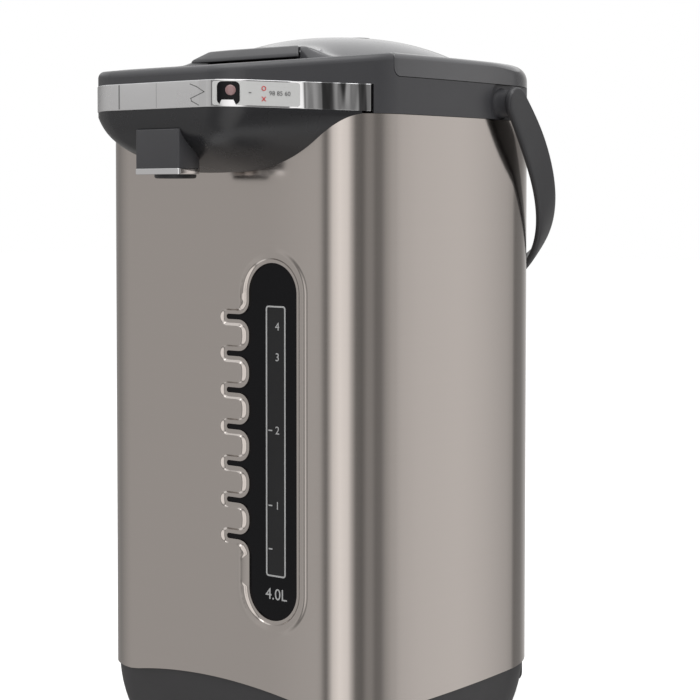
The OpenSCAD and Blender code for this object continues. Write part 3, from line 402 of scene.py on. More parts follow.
# the hood wears the head's black moulding painted darker: painted shade for the bowl that faces down
DARKENED_HOOD = Moulded("hood_painted_shade", (0.017, 0.017, 0.019), 0.28, relief=0.05)
LID = Moulded("lid_moulding", (0.066, 0.066, 0.071), 0.2, relief=0.03, coat=0.5)
BASE = Moulded("base_moulding", (0.036, 0.035, 0.037), 0.5, relief=0.15)
HANDLE = Moulded("handle_moulding", (0.034, 0.034, 0.037), 0.42, relief=0.1)
LEVER = Moulded("lever_moulding", (0.028, 0.028, 0.031), 0.38, relief=0.08)
BLACK = Moulded("black_moulding", (0.012, 0.012, 0.013), 0.45, relief=0.12)
KEYS = Moulded("key_moulding", (0.16, 0.16, 0.17), 0.42, relief=0.08)
WHITE = Moulded("natural_moulding", (0.62, 0.61, 0.58), 0.4, relief=0.06)
BLUE = Moulded("impeller_moulding", (0.06, 0.14, 0.34), 0.4, relief=0.06)
SILICONE = Moulded("silicone", (0.6, 0.6, 0.58), 0.5, relief=0.05, transmission=0.25)
RUBBER = Moulded("black_rubber", (0.018, 0.018, 0.018), 0.75, grain=900.0, relief=0.3)
GAUGE = Moulded("gauge_gloss", (0.004, 0.004, 0.005), 0.14, relief=0.01, specular=0.16)
PANE = Moulded("window_smoke", (0.017, 0.017, 0.018), 0.16, relief=0.005, change=0.08, specular=0.25)
INK = Moulded("pale_ink", (0.42, 0.42, 0.42), 0.5, relief=0.02)
RED_INK = Moulded("red_ink", (0.62, 0.05, 0.05), 0.5, relief=0.02)
GREY_INK = Moulded("grey_ink", (0.12, 0.12, 0.12), 0.5, relief=0.02)
LENS = Moulded("lens_red", (0.29, 0.17, 0.17), 0.15, relief=0.01, coat=0.5)
BOARD = Moulded("circuit_board", (0.02, 0.12, 0.05), 0.35, relief=0.02)
CERAMIC = Moulded("ceramic", (0.72, 0.7, 0.65), 0.5, relief=0.05)
CLEAR = Glass("level_glass", (0.9, 0.95, 0.96))

Finish = Moulded | Metal | StripMetal | Glass


@lru_cache(maxsize=None)
def material(finish: Finish) -> bpy.types.Material:
    """The one material of a finish."""
    return finish.build()


# ---- Surfaces ----------------------------------------------------------------


@dataclass
class Surface:
    """Corner points in millimetres, and blocks of faces: each block's faces have as many corners."""

    points: Array
    faces: list[Array]

    def __add__(self, other: Surface) -> Surface:
        """Both surfaces in one."""
        shifted = [block + len(self.points) for block in other.faces]
        return Surface(np.vstack([self.points, other.points]), self.faces + shifted)

    def mirrored(self) -> Surface:
        """The surface's image across the plane x = 0, still facing outwards."""
        return Surface(self.points * [-1, 1, 1], [block[:, ::-1] for block in self.faces])

    def both(self) -> Surface:
        """The surface and its image."""
        return self + self.mirrored()

    def turned(self, degrees: float, pivot: Sequence[float]) -> Surface:
        """The surface turned about an axis along X.

        Args:
            degrees: Angle, from Y towards Z.
            pivot: Y and Z of the axis.

        Returns:
            The turned surface.
        """
        c, s = math.cos(math.radians(degrees)), math.sin(math.radians(degrees))
        y, z = self.points[:, 1] - pivot[0], self.points[:, 2] - pivot[1]
        turned = np.stack([self.points[:, 0], pivot[0] + c * y - s * z, pivot[1] + s * y + c * z], 1)
        return Surface(turned, self.faces)

    def moved(self, offset: Sequence[float]) -> Surface:
        """The surface moved by an offset."""
        return Surface(self.points + np.asarray(offset, float), self.faces)


def grid(points: Array, wrap: bool = False) -> Surface:
    """Quads over a grid of points.

    Args:
        points: Array of rows by columns by 3.
        wrap: Whether the last column joins the first.

    Returns:
        The surface.
    """
    rows, columns = points.shape[:2]
    i = np.arange(rows - 1)[:, None]
    j = np.arange(columns if wrap else columns - 1)[None, :]
    after = (j + 1) % columns
    low, high = i * columns, (i + 1) * columns
    quads = np.stack([low + j, low + after, high + after, high + j], -1)
    return Surface(points.reshape(-1, 3), [quads.reshape(-1, 4)])


def capped(rings: Array) -> Surface:
    """A solid skin over closed rings, with both ends drawn in to their middles.

    Args:
        rings: Array of rings by points by 3.

    Returns:
        The surface.
    """
    ends = [np.broadcast_to(rings[k].mean(0), rings[k].shape)[None] for k in (0, -1)]
    return grid(np.concatenate([ends[0], rings, ends[1]]), wrap=True)


def at_height(flat: Array, z: Array | float) -> Array:
    """Points in the plane, n by 2, raised to one height or to a height each."""
    return np.column_stack([flat, np.broadcast_to(z, len(flat))])


def quarter(count: int) -> Array:
    """Angles from 0 to a right angle, in radians."""
    return np.radians(np.linspace(0, 90, count))


def smoothstep(low: float, high: float, value: Array) -> Array:
    """Cubic ramp from 0 at low to 1 at high."""
    t = np.clip((value - low) / (high - low), 0, 1)
    return t * t * (3 - 2 * t)


def round_corner(along: Array, r: float) -> Array:
    """Rise of a quarter round of radius r, from r where along is 0 down to 0 where along is r."""
    into = np.clip(along, 0, r)
    return r - np.sqrt(r**2 - (r - into) ** 2)


def inside(points: Array, loops: Sequence[Array]) -> Array:
    """Whether points lie inside loops, counted by the edges to their right.

    Args:
        points: Array of n by 2.
        loops: Closed outlines, the holes among them.

    Returns:
        Array of n booleans.
    """
    start = np.vstack(loops)
    end = np.vstack([np.roll(loop, -1, 0) for loop in loops])
    spans = (start[None, :, 1] > points[:, None, 1]) != (end[None, :, 1] > points[:, None, 1])
    rise = end[:, 1] - start[:, 1]
    slope = (end[:, 0] - start[:, 0]) / np.where(np.abs(rise) < TINY, TINY, rise)
    crossing = start[None, :, 0] + (points[:, None, 1] - start[None, :, 1]) * slope[None, :]
    return (spans & (points[:, None, 0] < crossing)).sum(1) % 2 == 1


def distance(points: Array, loops: Sequence[Array]) -> Array:
    """Distance from points to the nearest edge of closed loops.

    Args:
        points: Array of n by 2.
        loops: Closed outlines.

    Returns:
        Array of n distances.
    """
    start = np.vstack(loops)
    run = np.vstack([np.roll(loop, -1, 0) for loop in loops]) - start
    offset = points[:, None, :] - start[None]
    share = np.clip((offset * run).sum(-1) / np.maximum((run * run).sum(-1), TINY), 0, 1)
    return np.sqrt(((offset - share[..., None] * run) ** 2).sum(-1).min(1))


NO_FILL = np.empty((0, 2))


def patch(loops: Sequence[Array], fill: Array, lift: Lift, clear: float = 0.5) -> Surface:
    """Triangles between outlines, with loose points among them, carried into space.

    Args:
        loops: Outer outline and holes, each n by 2.
        fill: Points that may lie inside, n by 2.
        lift: Carries n by 2 to n by 3.
        clear: Least distance of a loose point from an outline.

    Returns:
        The surface.
    """
    if len(fill):
        fill = fill[inside(fill, loops)]
        fill = fill[distance(fill, loops) > clear]
    flat = np.vstack([*loops, fill]) if len(fill) else np.vstack(loops)
    firsts = np.cumsum([0] + [len(loop) for loop in loops])
    edges = [np.stack([np.arange(n), np.roll(np.arange(n), -1)], 1) + first
             for n, first in zip((len(loop) for loop in loops), firsts)]
    result = delaunay_2d_cdt([Vector(p) for p in flat.tolist()], np.vstack(edges).tolist(), [], 0, 1e-7)
    corners = np.array([tuple(p) for p in result[0]])
    triangles = np.array(result[2])
    keep = inside(corners[triangles].mean(1), loops)
    return Surface(lift(corners), [triangles[keep]])


def lattice(x: Sequence[float], y: Sequence[float]) -> Array:
    """Every pair of an x and a y, as n by 2."""
    return np.stack(np.meshgrid(x, y, indexing="ij"), -1).reshape(-1, 2)


def sown(low: Sequence[float], high: Sequence[float], steps: Sequence[float]) -> Array:
    """Points over a rectangle from its low corner, at even steps in x and in y, as n by 2."""
    return lattice(*(np.arange(*span) for span in zip(low, high, steps)))


def arc(centre: Sequence[float], radius: float, start: float, end: float, count: int) -> Array:
    """Points along an arc in degrees, both ends included."""
    angle = np.radians(np.linspace(start, end, count))
    return np.asarray(centre, float) + radius * np.stack([np.cos(angle), np.sin(angle)], 1)


def rounded_box(half: Sequence[float], radius: float, count: int = 7) -> Array:
    """Outline of a rectangle about the origin with round corners.

    Args:
        half: Half width and half height.
        radius: Radius of the corners.
        count: Points on each corner.

    Returns:
        Array of n by 2, anticlockwise.
    """
    x, y = half[0] - radius, half[1] - radius
    corners = (((x, y), 0), ((-x, y), 90), ((-x, -y), 180), ((x, -y), 270))
    return np.vstack([arc(centre, radius, a, a + 90, count) for centre, a in corners])


def dense(loop: Array, step: float = 1.0) -> Array:
    """A closed loop with points added along its long edges, evenly between the corners.

    Args:
        loop: Outline, n by 2.
        step: Largest distance between neighbours.

    Returns:
        Array of m by 2 that keeps every corner.
    """
    closed = np.vstack([loop, loop[:1]])
    run = np.concatenate([[0], np.cumsum(np.linalg.norm(np.diff(closed, axis=0), axis=1))])
    between = np.arange(step, run[-1], step)
    apart = np.abs(between[:, None] - run[None]).min(1) > step * 0.3
    at = np.sort(np.concatenate([run[:-1], between[apart]]))
    return np.stack([np.interp(at, run, closed[:, k]) for k in (0, 1)], 1)


def outward(loop: Array) -> Array:
    """Outward direction at each point of a loop, square to its neighbours' chord.

    Args:
        loop: Anticlockwise outline, n by 2.

    Returns:
        Array of n by 2.
    """
    chord = np.roll(loop, -1, 0) - np.roll(loop, 1, 0)
    normal = np.stack([chord[:, 1], -chord[:, 0]], 1)
    return normal / np.linalg.norm(normal, axis=1, keepdims=True)


def round_profile(low: float, high: float, r_low: float, r_high: float, count: int = 5) -> Array:
    """Side profile of a plate with rounded edges, as (inset, height) from low to high.

    Args:
        low: Height of the lower face.
        high: Height of the upper face.
        r_low: Radius of the lower edge.
        r_high: Radius of the upper edge.
        count: Points on each edge.

    Returns:
        Array of n by 2.
    """
    a = quarter(count)
    lower = np.stack([r_low * (1 - np.sin(a)), low + r_low * (1 - np.cos(a))], 1)
    upper = np.stack([r_high * (1 - np.cos(a)), high - r_high * (1 - np.sin(a))], 1)
    return np.vstack([lower, upper])


def block(loop: Array, profile: Array) -> Surface:
    """Closed solid: a loop is inset and raised by each step of a profile, and both ends are capped.

    Args:
        loop: Anticlockwise outline, n by 2.
        profile: Insets and heights, m by 2.

    Returns:
        The surface.
    """
    normal = outward(loop)
    plan = loop[None] - profile[:, None, :1] * normal[None]
    height = np.broadcast_to(profile[:, None, 1:], (*plan.shape[:2], 1))
    return capped(np.concatenate([plan, height], -1))


def lathe(profile: Array, centre: Sequence[float], axis: str = "z", count: int = 64) -> Surface:
    """A profile turned about an axis.

    Args:
        profile: Radius and height along the axis, m by 2. Radius 0 closes an end.
        centre: Point on the axis, which heights are measured from.
        axis: "z", or "x" for an axis along X.
        count: Steps round.

    Returns:
        The surface.
    """
    angle = np.linspace(0, 2 * np.pi, count, endpoint=False)
    radius, height = profile[:, :1], np.broadcast_to(profile[:, 1:], (len(profile), count))
    turn = (radius * np.cos(angle), radius * np.sin(angle))
    axes = (turn[0], turn[1], height) if axis == "z" else (height, turn[0], turn[1])
    return grid(np.stack(axes, -1) + np.asarray(centre, float), wrap=True)


@dataclass(frozen=True)
class Piece:
    """How one piece is made and what it stands for. Its wall and bevel are in mm, and sharp is in degrees."""

    name: str
    body: Body
    slot: Slot
    finish: Finish
    stands_for: tuple[str, ...] = ()
    wall: float = 0.0
    bevel: float = 0.0
    bevel_from: float = 25.0
    sharp: float = 40.0


def as_mesh(obj: bpy.types.Object) -> bpy.types.Mesh:
    """A new mesh of an object as its modifiers leave it."""
    return bpy.data.meshes.new_from_object(obj.evaluated_get(bpy.context.evaluated_depsgraph_get()))


def weld(mesh: bpy.types.Mesh, near: float = 0.004 * MM, empty: float = 0.002 * MM) -> None:
    """Merges doubles, drops empty faces and points every face outwards.

    Args:
        mesh: The mesh, changed in place.
        near: Distance within which points are merged.
        empty: Length below which an edge is dropped.
    """
    work = bmesh.new()
    work.from_mesh(mesh)
    bmesh.ops.remove_doubles(work, verts=work.verts, dist=near)
    bmesh.ops.dissolve_degenerate(work, edges=work.edges, dist=empty)
    bmesh.ops.recalc_face_normals(work, faces=work.faces)
    work.to_mesh(mesh)
    work.free()


def placed(name: str, data: bpy.types.ID) -> bpy.types.Object:
    """A new object at the origin, linked to the scene.

    Args:
        name: The object's name.
        data: Its mesh, curve, lamp or camera.

    Returns:
        The object.
    """
    obj = bpy.data.objects.new(name, data)
    bpy.context.scene.collection.objects.link(obj)
    return obj


def make(surface: Surface, piece: Piece) -> None:
    """Builds a piece's mesh, gives it walls, soft edges and its finish, and sets it on its body.

    Args:
        surface: The piece's shape.
        piece: How it is made.
    """
    mesh = bpy.data.meshes.new(piece.name)
    faces = [corners for faces in surface.faces for corners in faces.tolist()]
    mesh.from_pydata((surface.points * MM).tolist(), [], faces)
    weld(mesh)
    obj = placed(piece.name, mesh)
    if piece.wall:
        wall = obj.modifiers.new("wall", "SOLIDIFY")
        wall.thickness = piece.wall * MM
        wall.offset = -1
    if piece.bevel:
        soft = obj.modifiers.new("edges", "BEVEL")
        soft.width = piece.bevel * MM
        soft.segments = 3
        soft.limit_method = "ANGLE"
        soft.angle_limit = math.radians(piece.bevel_from)
    if obj.modifiers:
        obj.data = as_mesh(obj)
        obj.modifiers.clear()
    obj.data.shade_smooth()
    obj.data.set_sharp_from_angle(angle=math.radians(piece.sharp))
    obj.data.materials.clear()
    obj.data.materials.append(material(piece.finish))
    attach(obj, piece.body.value)
    if piece.stands_for:
        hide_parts(*piece.stands_for)
    log.info("%s: %d faces on %s", piece.name, len(obj.data.polygons), piece.body.value)


# ---- Plans -------------------------------------------------------------------


@dataclass(frozen=True)
class Outline:
    """A closed plan. s runs along it from the middle of the front, positive to the right."""

    points: Array
    normals: Array
    least_step: float = 1e-6

    @cached_property
    def end(self) -> float:
        """Length at the middle of the back."""
        return float(self.s[-1])

    @cached_property
    def s(self) -> Array:
        """Length along the plan at each point, 0 at the middle of the front.

        Returns:
            Array of n lengths that always grow.
        """
        steps = np.linalg.norm(np.diff(self.points, axis=0), axis=1)
        run = np.concatenate([[0], np.cumsum(np.maximum(steps, self.least_step))])
        return run - run[-1] / 2

    def at(self, s: Array) -> tuple[Array, Array]:
        """Points and outward directions at lengths s.

        Args:
            s: Lengths along the plan.

        Returns:
            Two arrays of n by 2.
        """
        point = np.stack([np.interp(s, self.s, self.points[:, k]) for k in (0, 1)], -1)
        normal = np.stack([np.interp(s, self.s, self.normals[:, k]) for k in (0, 1)], -1)
        return point, normal / np.linalg.norm(normal, axis=-1, keepdims=True)

    def at_y(self, y: float) -> float:
        """Length at which the right side reaches y."""
        half = self.s > 0
        return float(np.interp(y, self.points[half, 1], self.s[half]))

    def lift(self, s: Array, z: Array, inset: Array | float = 0.0) -> Array:
        """Points on the wall that stands on the plan.

        Args:
            s: Lengths along the plan.
            z: Heights.
            inset: Depths behind the wall's face.

        Returns:
            Array with a last axis of 3.
        """
        s, z, inset = np.broadcast_arrays(s, z, inset)
        point, normal = self.at(s)
        return np.concatenate([point - inset[..., None] * normal, z[..., None]], -1)

    def columns(self, low: float, high: float, turn: float = 3.0, longest: float = 8.0) -> Array:
        """Lengths between low and high, close together where the plan turns.

        Args:
            low: First length.
            high: Last length.
            turn: Largest turn between neighbours, in degrees.
            longest: Largest distance between neighbours.

        Returns:
            Increasing lengths.
        """
        angle = np.degrees(np.unwrap(np.arctan2(self.normals[:, 1], self.normals[:, 0])))
        weight = np.abs(angle - angle[0]) / turn + (self.s - self.s[0]) / longest
        span = np.interp([low, high], self.s, weight)
        count = max(2, int(math.ceil(span[1] - span[0])) + 1)
        return np.interp(np.linspace(*span, count), weight, self.s)


def outline_of(runs: Sequence[tuple[Sequence[float], float, float, float]], turn: float = 0.5) -> Outline:
    """A plan made of arcs, with straight stretches between them.

    Args:
        runs: Centre, radius and both angles in degrees of each arc. A radius of 0 is a corner point
            with the first angle as its outward direction.
        turn: Degrees from one point to the next.

    Returns:
        The plan.
    """
    points, normals = [], []
    for centre, radius, start, end in runs:
        count = max(2, int(abs(end - start) / turn)) if radius else 1
        angle = np.radians(np.linspace(start, end, count))
        direction = np.stack([np.cos(angle), np.sin(angle)], 1)
        points.append(np.asarray(centre, float) + radius * direction)
        normals.append(direction)
    return Outline(np.vstack(points), np.vstack(normals))


@dataclass(frozen=True)
class Plans:
    """The pot's driving sizes and the two plans that follow from them. Angles are in degrees."""

    width: float = 174.0
    depth: float = 170.0
    front_r: float = 28.0
    back_r: float = 54.0
    bow: float = 4.0
    beak_reach: float = 123.6
    beak_flat: float = 31.0
    beak_r: float = 25.0
    beak_crease: float = 8.0
    base_h: float = 34.0
    shell_h: float = 268.0
    seam_h: float = 17.0
    lid_h: float = 10.5
    deck_front_h: float = 20.5
    deck_rear_h: float = 27.2
    lid_front: float = 59.7
    lid_back: float = 60.0
    edge_r: float = 3.0
    gap: float = 0.3
    bead_r: float = 3.4
    bead_room: float = 3.75
    bead_drop: float = 0.5
    cover_drop: float = 0.4

    @cached_property
    def centres(self) -> dict[str, Array]:
        """Centres of the corner arcs on the right side, from which the bowed sides reach width and depth.

        Returns:
            Each centre by its corner's name.
        """
        b, t = math.radians(self.bow), math.tan(math.radians(self.bow) / 2)
        c, s = math.cos(b), math.sin(b)
        both, less = self.front_r + self.back_r, self.front_r - self.back_r
        inner = self.depth + both * (s - c) - t * (less * c + both * s)
        front_x = (self.width / 2 - self.front_r * c - t / 2 * inner) / (1 - t * t)
        back_x = front_x + less * c
        front_y = -(self.depth / 2 - self.front_r * c - t * (front_x + self.front_r * s))
        back_y = self.depth / 2 - self.back_r * c - t * (back_x + self.back_r * s)
        beak = (self.beak_flat - self.beak_r * math.sin(math.radians(self.beak_crease)),
                -self.beak_reach + self.beak_r * math.cos(math.radians(self.beak_crease)))
        return {"front": np.array([front_x, front_y]), "back": np.array([back_x, back_y]),
                "beak": np.array(beak)}

    @cached_property
    def beak_side(self) -> float:
        """Outward angle of the beak's straight side, a tangent of both its arcs.

        Returns:
            The angle in degrees.
        """
        run = self.centres["front"] - self.centres["beak"]
        lean = math.degrees(math.acos((self.beak_r - self.front_r) / np.linalg.norm(run)))
        return math.degrees(math.atan2(run[1], run[0])) - lean

    @cached_property
    def shell_top(self) -> float:
        """Height of the steel's upper edge."""
        return self.base_h + self.shell_h

    @cached_property
    def seam_z(self) -> float:
        """Height of the seam under the lid."""
        return self.shell_top + self.seam_h

    @cached_property
    def lid_top(self) -> float:
        """Height of the lid's flat rim."""
        return self.seam_z + self.lid_h

    @cached_property
    def hinge_z(self) -> float:
        """Height of the lid's hinge, in the middle of the lid's rear bead."""
        return self.lid_top - self.bead_r - self.bead_drop

    @cached_property
    def rear_top(self) -> float:
        """Height of the rear cover, which the open lid's back lies over."""
        return self.hinge_z - self.cover_drop

    @cached_property
    def deck_slope(self) -> float:
        """The deck's rise for each millimetre towards the back."""
        return (self.deck_rear_h - self.deck_front_h) / (self.beak_reach - self.lid_front)

    def deck_z(self, y: Array | float) -> Array | float:
        """Height of the sloping deck at y."""
        return self.shell_top + self.deck_front_h + self.deck_slope * (y + self.beak_reach)

    @cached_property
    def bow_sin(self) -> float:
        """Sine of the sides' bow."""
        return math.sin(math.radians(self.bow))

    def _sides(self) -> tuple[list, list]:
        """Arcs of both sides.

        Returns:
            Those of the left side from the back, and those of the right side to the back.
        """
        front, back = self.centres["front"], self.centres["back"]
        s = self.bow_sin
        low, high = front[1] - self.front_r * s, back[1] + self.back_r * s
        side_r = (high - low) / 2 / s
        bow_r = (back[0] + self.back_r * s) / s
        side = (self.width / 2 - side_r, (low + high) / 2)
        flip = np.array([-1, 1])
        left = [((0, self.depth / 2 - bow_r), bow_r, 90, 90 + self.bow),
                (back * flip, self.back_r, 90 + self.bow, 180 - self.bow),
                (side * flip, side_r, 180 - self.bow, 180 + self.bow)]
        right = [(side, side_r, 360 - self.bow, 360 + self.bow),
                 (back, self.back_r, 360 + self.bow, 450 - self.bow),
                 ((0, self.depth / 2 - bow_r), bow_r, 450 - self.bow, 450)]
        return left, right

    @cached_property
    def body(self) -> Outline:
        """Plan of the steel body: four bowed sides and four round corners.

        Returns:
            The plan.
        """
        left, right = self._sides()
        front = self.centres["front"]
        bow_r = (front[0] + self.front_r * self.bow_sin) / self.bow_sin
        middle = [(front * [-1, 1], self.front_r, 180 + self.bow, 270 - self.bow),
                  ((0, -self.depth / 2 + bow_r), bow_r, 270 - self.bow, 270 + self.bow),
                  (front, self.front_r, 270 + self.bow, 360 - self.bow)]
        return outline_of(left + middle + right)

    @cached_property
    def head(self) -> Outline:
        """Plan of the head: the body's back with the beak's straight sides and flat front.

        Returns:
            The plan.
        """
        left, right = self._sides()
        front, beak = self.centres["front"], self.centres["beak"]
        flip = np.array([-1, 1])
        side, crease = self.beak_side, self.beak_crease
        flat = [((x, -self.beak_reach), 0, 270, 270) for x in (-self.beak_flat, self.beak_flat)]
        middle = [(front * flip, self.front_r, 180 + self.bow, 180 - side),
                  (beak * flip, self.beak_r, 180 - side, 270 - crease), *flat,
                  (beak, self.beak_r, 270 + crease, 360 + side),
                  (front, self.front_r, 360 + side, 360 - self.bow)]
        return outline_of(left + middle + right)

    def half_width(self, y: Array, inset: float = 0.0) -> Array:
        """Half width of the body's plan.

        Args:
            y: Places along.
            inset: Depth behind the plan's face.

        Returns:
            Array of half widths.
        """
        half = self.body.s > 0
        points = self.body.points[half] - inset * self.body.normals[half]
        return np.interp(y, points[:, 1], points[:, 0])


PLANS = Plans()


# ---- Level gauge and steel ---------------------------------------------------


@dataclass
class LevelGauge:
    """The gauge on the front: outlines in (s, z), the black panel, its window and its marks.

    tongue_bead holds the shares of the bead's place, width and height that are left beside the tongues.
    """

    plans: Plans = PLANS
    axis: float = 33.4
    width: float = 28.0
    length: float = 164.0
    drop: float = 66.8
    slots: int = 7
    pitch: float = 17.05
    slot_h: float = 2.5
    slot_top: float = 25.4
    slot_reach: float = 13.8
    tongue_r: float = 6.3
    side_count: int = 130
    sink: float = 1.2
    step_at: Pair = (1.0, 2.7)
    step_soft: float = 0.7
    bead_h: float = 0.55
    bead_at: float = 4.9
    bead_half: float = 2.2
    tongue_bead: Size3 = (0.74, 0.8, 0.45)
    press_reach: float = 26.0
    beside_w: float = 8.0
    beside_fade: Pair = (7.0, 2.0)
    sheet: float = 0.8
    tuck: float = 2.6
    panel_wall: float = 1.2
    pane_wall: float = 0.8
    pane_gap: float = 0.03
    pane_sink: float = 0.25
    window_shift: Pair = (1.3, 0.3)
    window: Pair = (11.3, 124.0)
    window_r: float = 1.4
    frame_w: float = 0.62
    frame_lap: float = 0.1
    frame_proud: float = 0.12
    frame_wall: float = 0.2
    marks: tuple[tuple[float, str], ...] = ((52.5, "4"), (38.5, "3"), (5.0, "2"), (-29.5, "1"))
    mark_size: float = 5.2
    mark_x: float = 0.8
    mark_sink: float = 0.16
    ticks: tuple[float, ...] = (5.0, -29.5, -49.5)
    tick_half: Pair = (1.1, 0.3)
    tick_x: float = 2.3
    tick_t: float = 0.08
    capacity: str = "4.0L"
    capacity_size: float = 7.4
    capacity_spot: Pair = (0.2, -8.4)
    capacity_proud: float = 0.05

    @property
    def top(self) -> float:
        """Height of the panel's top."""
        return self.plans.shell_top - self.drop

    @property
    def middle(self) -> Array:
        """Middle of the panel in (s, z)."""
        return np.array([self.axis, self.top - self.length / 2])

    @property
    def window_middle(self) -> Array:
        """Middle of the window in (s, z)."""
        return self.middle + self.window_shift

    @property
    def straight(self) -> float:
        """Half the length of the capsule's straight side."""
        return self.length / 2 - self.width / 2

    def right_side(self, r: float, turn: float, count: int) -> list[Array]:
        """The right side of a capsule about the panel's middle, and a part of each of its round ends.

        Args:
            r: Half the capsule's width.
            turn: Angle of each end's arc, in degrees.
            count: Points on each arc.

        Returns:
            The lower arc, the side and the upper arc, n by 2 each.
        """
        half = self.straight
        z = np.linspace(-half, half, self.side_count + 2)[1:-1]
        side = np.column_stack([np.full(self.side_count, r), z])
        return [arc((0, -half), r, 360 - turn, 360, count), side, arc((0, half), r, 0, turn, count)]

    def outline(self, grow: float) -> Array:
        """The panel's outline: a capsule, with slots on its left between round steel tongues.

        Args:
            grow: How far the outline is moved outwards.

        Returns:
            Array of n by 2 in (s, z), anticlockwise.
        """
        r, s, t = self.width / 2 + grow, self.slot_h / 2 + grow, self.tongue_r - grow
        tip = -self.width / 2 - self.slot_reach + self.slot_h / 2
        run = np.linspace(-r - t, tip, 9)[1:-1]
        parts = self.right_side(r, 180, 48)
        for k in range(self.slots):
            z = self.slot_z(k) - self.middle[1]
            parts += [arc((-r - t, z + s + t), t, 0, -90, 12), at_height(run, z + s)]
            parts += [arc((tip, z), s, 90, 270, 13), at_height(run[::-1], z - s)]
            parts += [arc((-r - t, z - s - t), t, 90, 0, 12)]
        return np.vstack(parts) + self.middle

    def border(self, grow: float) -> Array:
        """The right half of the plain capsule, grown by a width, as n by 2 in (s, z)."""
        return np.vstack(self.right_side(self.width / 2 + grow, 90, 36)) + self.middle

    def slot_z(self, k: int) -> float:
        """Height of slot k's middle."""
        return self.top - self.slot_top - k * self.pitch

    def capsule(self, points: Array) -> Array:
        """Distance outside the panel's plain capsule.

        Args:
            points: Array of n by 2 in (s, z).

        Returns:
            Array of n distances, negative inside.
        """
        offset = points - self.middle
        beyond = offset[:, 1] - np.clip(offset[:, 1], -self.straight, self.straight)
        return np.hypot(offset[:, 0], beyond) - self.width / 2

    def press(self, points: Array) -> Array:
        """Depth of the steel's pressed border: a step at the panel and a low bead round it.

        The step is a cubic ramp of the distance to the panel's edge. The bead is a hump (1 - u * u) ** 2,
        where u runs from -1 to 1 across it. It follows the capsule, and beside the tongues the panel's edge.

        Args:
            points: Array of n by 2 in (s, z).

        Returns:
            Array of n depths.
        """
        near = self.capsule(points) < self.press_reach
        spots = points[near]
        edge, ring = distance(spots, [self.outline(0)]), self.capsule(spots)
        first, last = self.slot_z(self.slots - 1), self.slot_z(0)
        out, into = self.beside_fade
        beside = smoothstep(0, self.beside_w, self.axis - spots[:, 0])
        beside = beside * smoothstep(first - out, first + into, spots[:, 1])
        beside = beside * (1 - smoothstep(last - into, last + out, spots[:, 1]))
        step = 1 - smoothstep(self.step_at[0], self.step_at[1] + self.step_soft * beside, edge)
        place, breadth, height = self.tongue_bead
        plain = np.clip((ring - self.bead_at) / self.bead_half, -1, 1)
        wound = np.clip((edge - self.bead_at * place) / (self.bead_half * breadth), -1, 1)
        bead = (1 - beside) * (1 - plain**2) ** 2 + height * beside * (1 - wound**2) ** 2
        depth = np.zeros(len(points))
        depth[near] = self.sink * step - self.bead_h * bead
        return depth

    def window_loop(self, grow: float) -> Array:
        """The window's outline in (s, z), grown by a width."""
        half = [size / 2 + grow for size in self.window]
        return rounded_box(half, self.window_r + grow) + self.window_middle

    def on_face(self, depth: float) -> Lift:
        """Carries (s, z) on to the body's face at a depth."""
        return lambda flat: self.plans.body.lift(flat[:, 0], flat[:, 1], depth)

    def lettering(self, text: str, size: float, spot: Sequence[float], depth: float) -> Surface:
        """Raised figures about a spot in (s, z), at a depth in the body's face."""
        return figures(text, size, spot, lambda s, z, up: self.plans.body.lift(s, z, depth - up))

    def tick(self, loop: Array, depth: float) -> Surface:
        """A short raised bar with a loop as its outline in (s, z)."""
        return capped(np.stack([self.on_face(depth + t)(loop) for t in (self.tick_t, 0.0)]))

    def build(self) -> None:
        """Makes the panel, the window, its frame and the figures."""
        outer = self.outline(self.tuck)
        fill = sown(outer.min(0), outer.max(0), (4, 5))
        face = self.sink + self.sheet
        panel = patch([outer, self.window_loop(0)], fill, self.on_face(face), 1.2)
        make(panel, Piece("gauge_face", Body.POT, Slot.GAUGE, GAUGE, ("gauge_panel",), wall=self.panel_wall))
        pane = patch([self.window_loop(-self.pane_gap)], fill, self.on_face(face + self.pane_sink), 1.2)
        make(pane, Piece("window_pane", Body.POT, Slot.CLEAR, PANE, ("gauge_window",), wall=self.pane_wall))
        loops = [self.window_loop(grow) for grow in (self.frame_lap, -self.frame_w)]
        rim = patch(loops, NO_FILL, self.on_face(face - self.frame_proud))
        make(rim, Piece("window_rim", Body.POT, Slot.LABEL, INK, wall=self.frame_wall))
        self.build_marks(face)

    def build_marks(self, face: float) -> None:
        """Makes the figures and ticks on the window and the capacity under it.

        Args:
            face: Depth of the panel's face.
        """
        x, z = self.window_middle
        pane = face + self.mark_sink
        spot = (x + self.capacity_spot[0], z - self.window[1] / 2 + self.capacity_spot[1])
        marks = self.lettering(self.capacity, self.capacity_size, spot, face - self.capacity_proud)
        for height, text in self.marks:
            marks += self.lettering(text, self.mark_size, (x + self.mark_x, z + height), pane)
        for height in self.ticks:
            spot = (x - self.window[0] / 2 + self.tick_x, z + height)
            marks += self.tick(rounded_box(self.tick_half, 0.1, 3) + spot, pane)
        make(marks, Piece("gauge_figures", Body.POT, Slot.LABEL, INK))


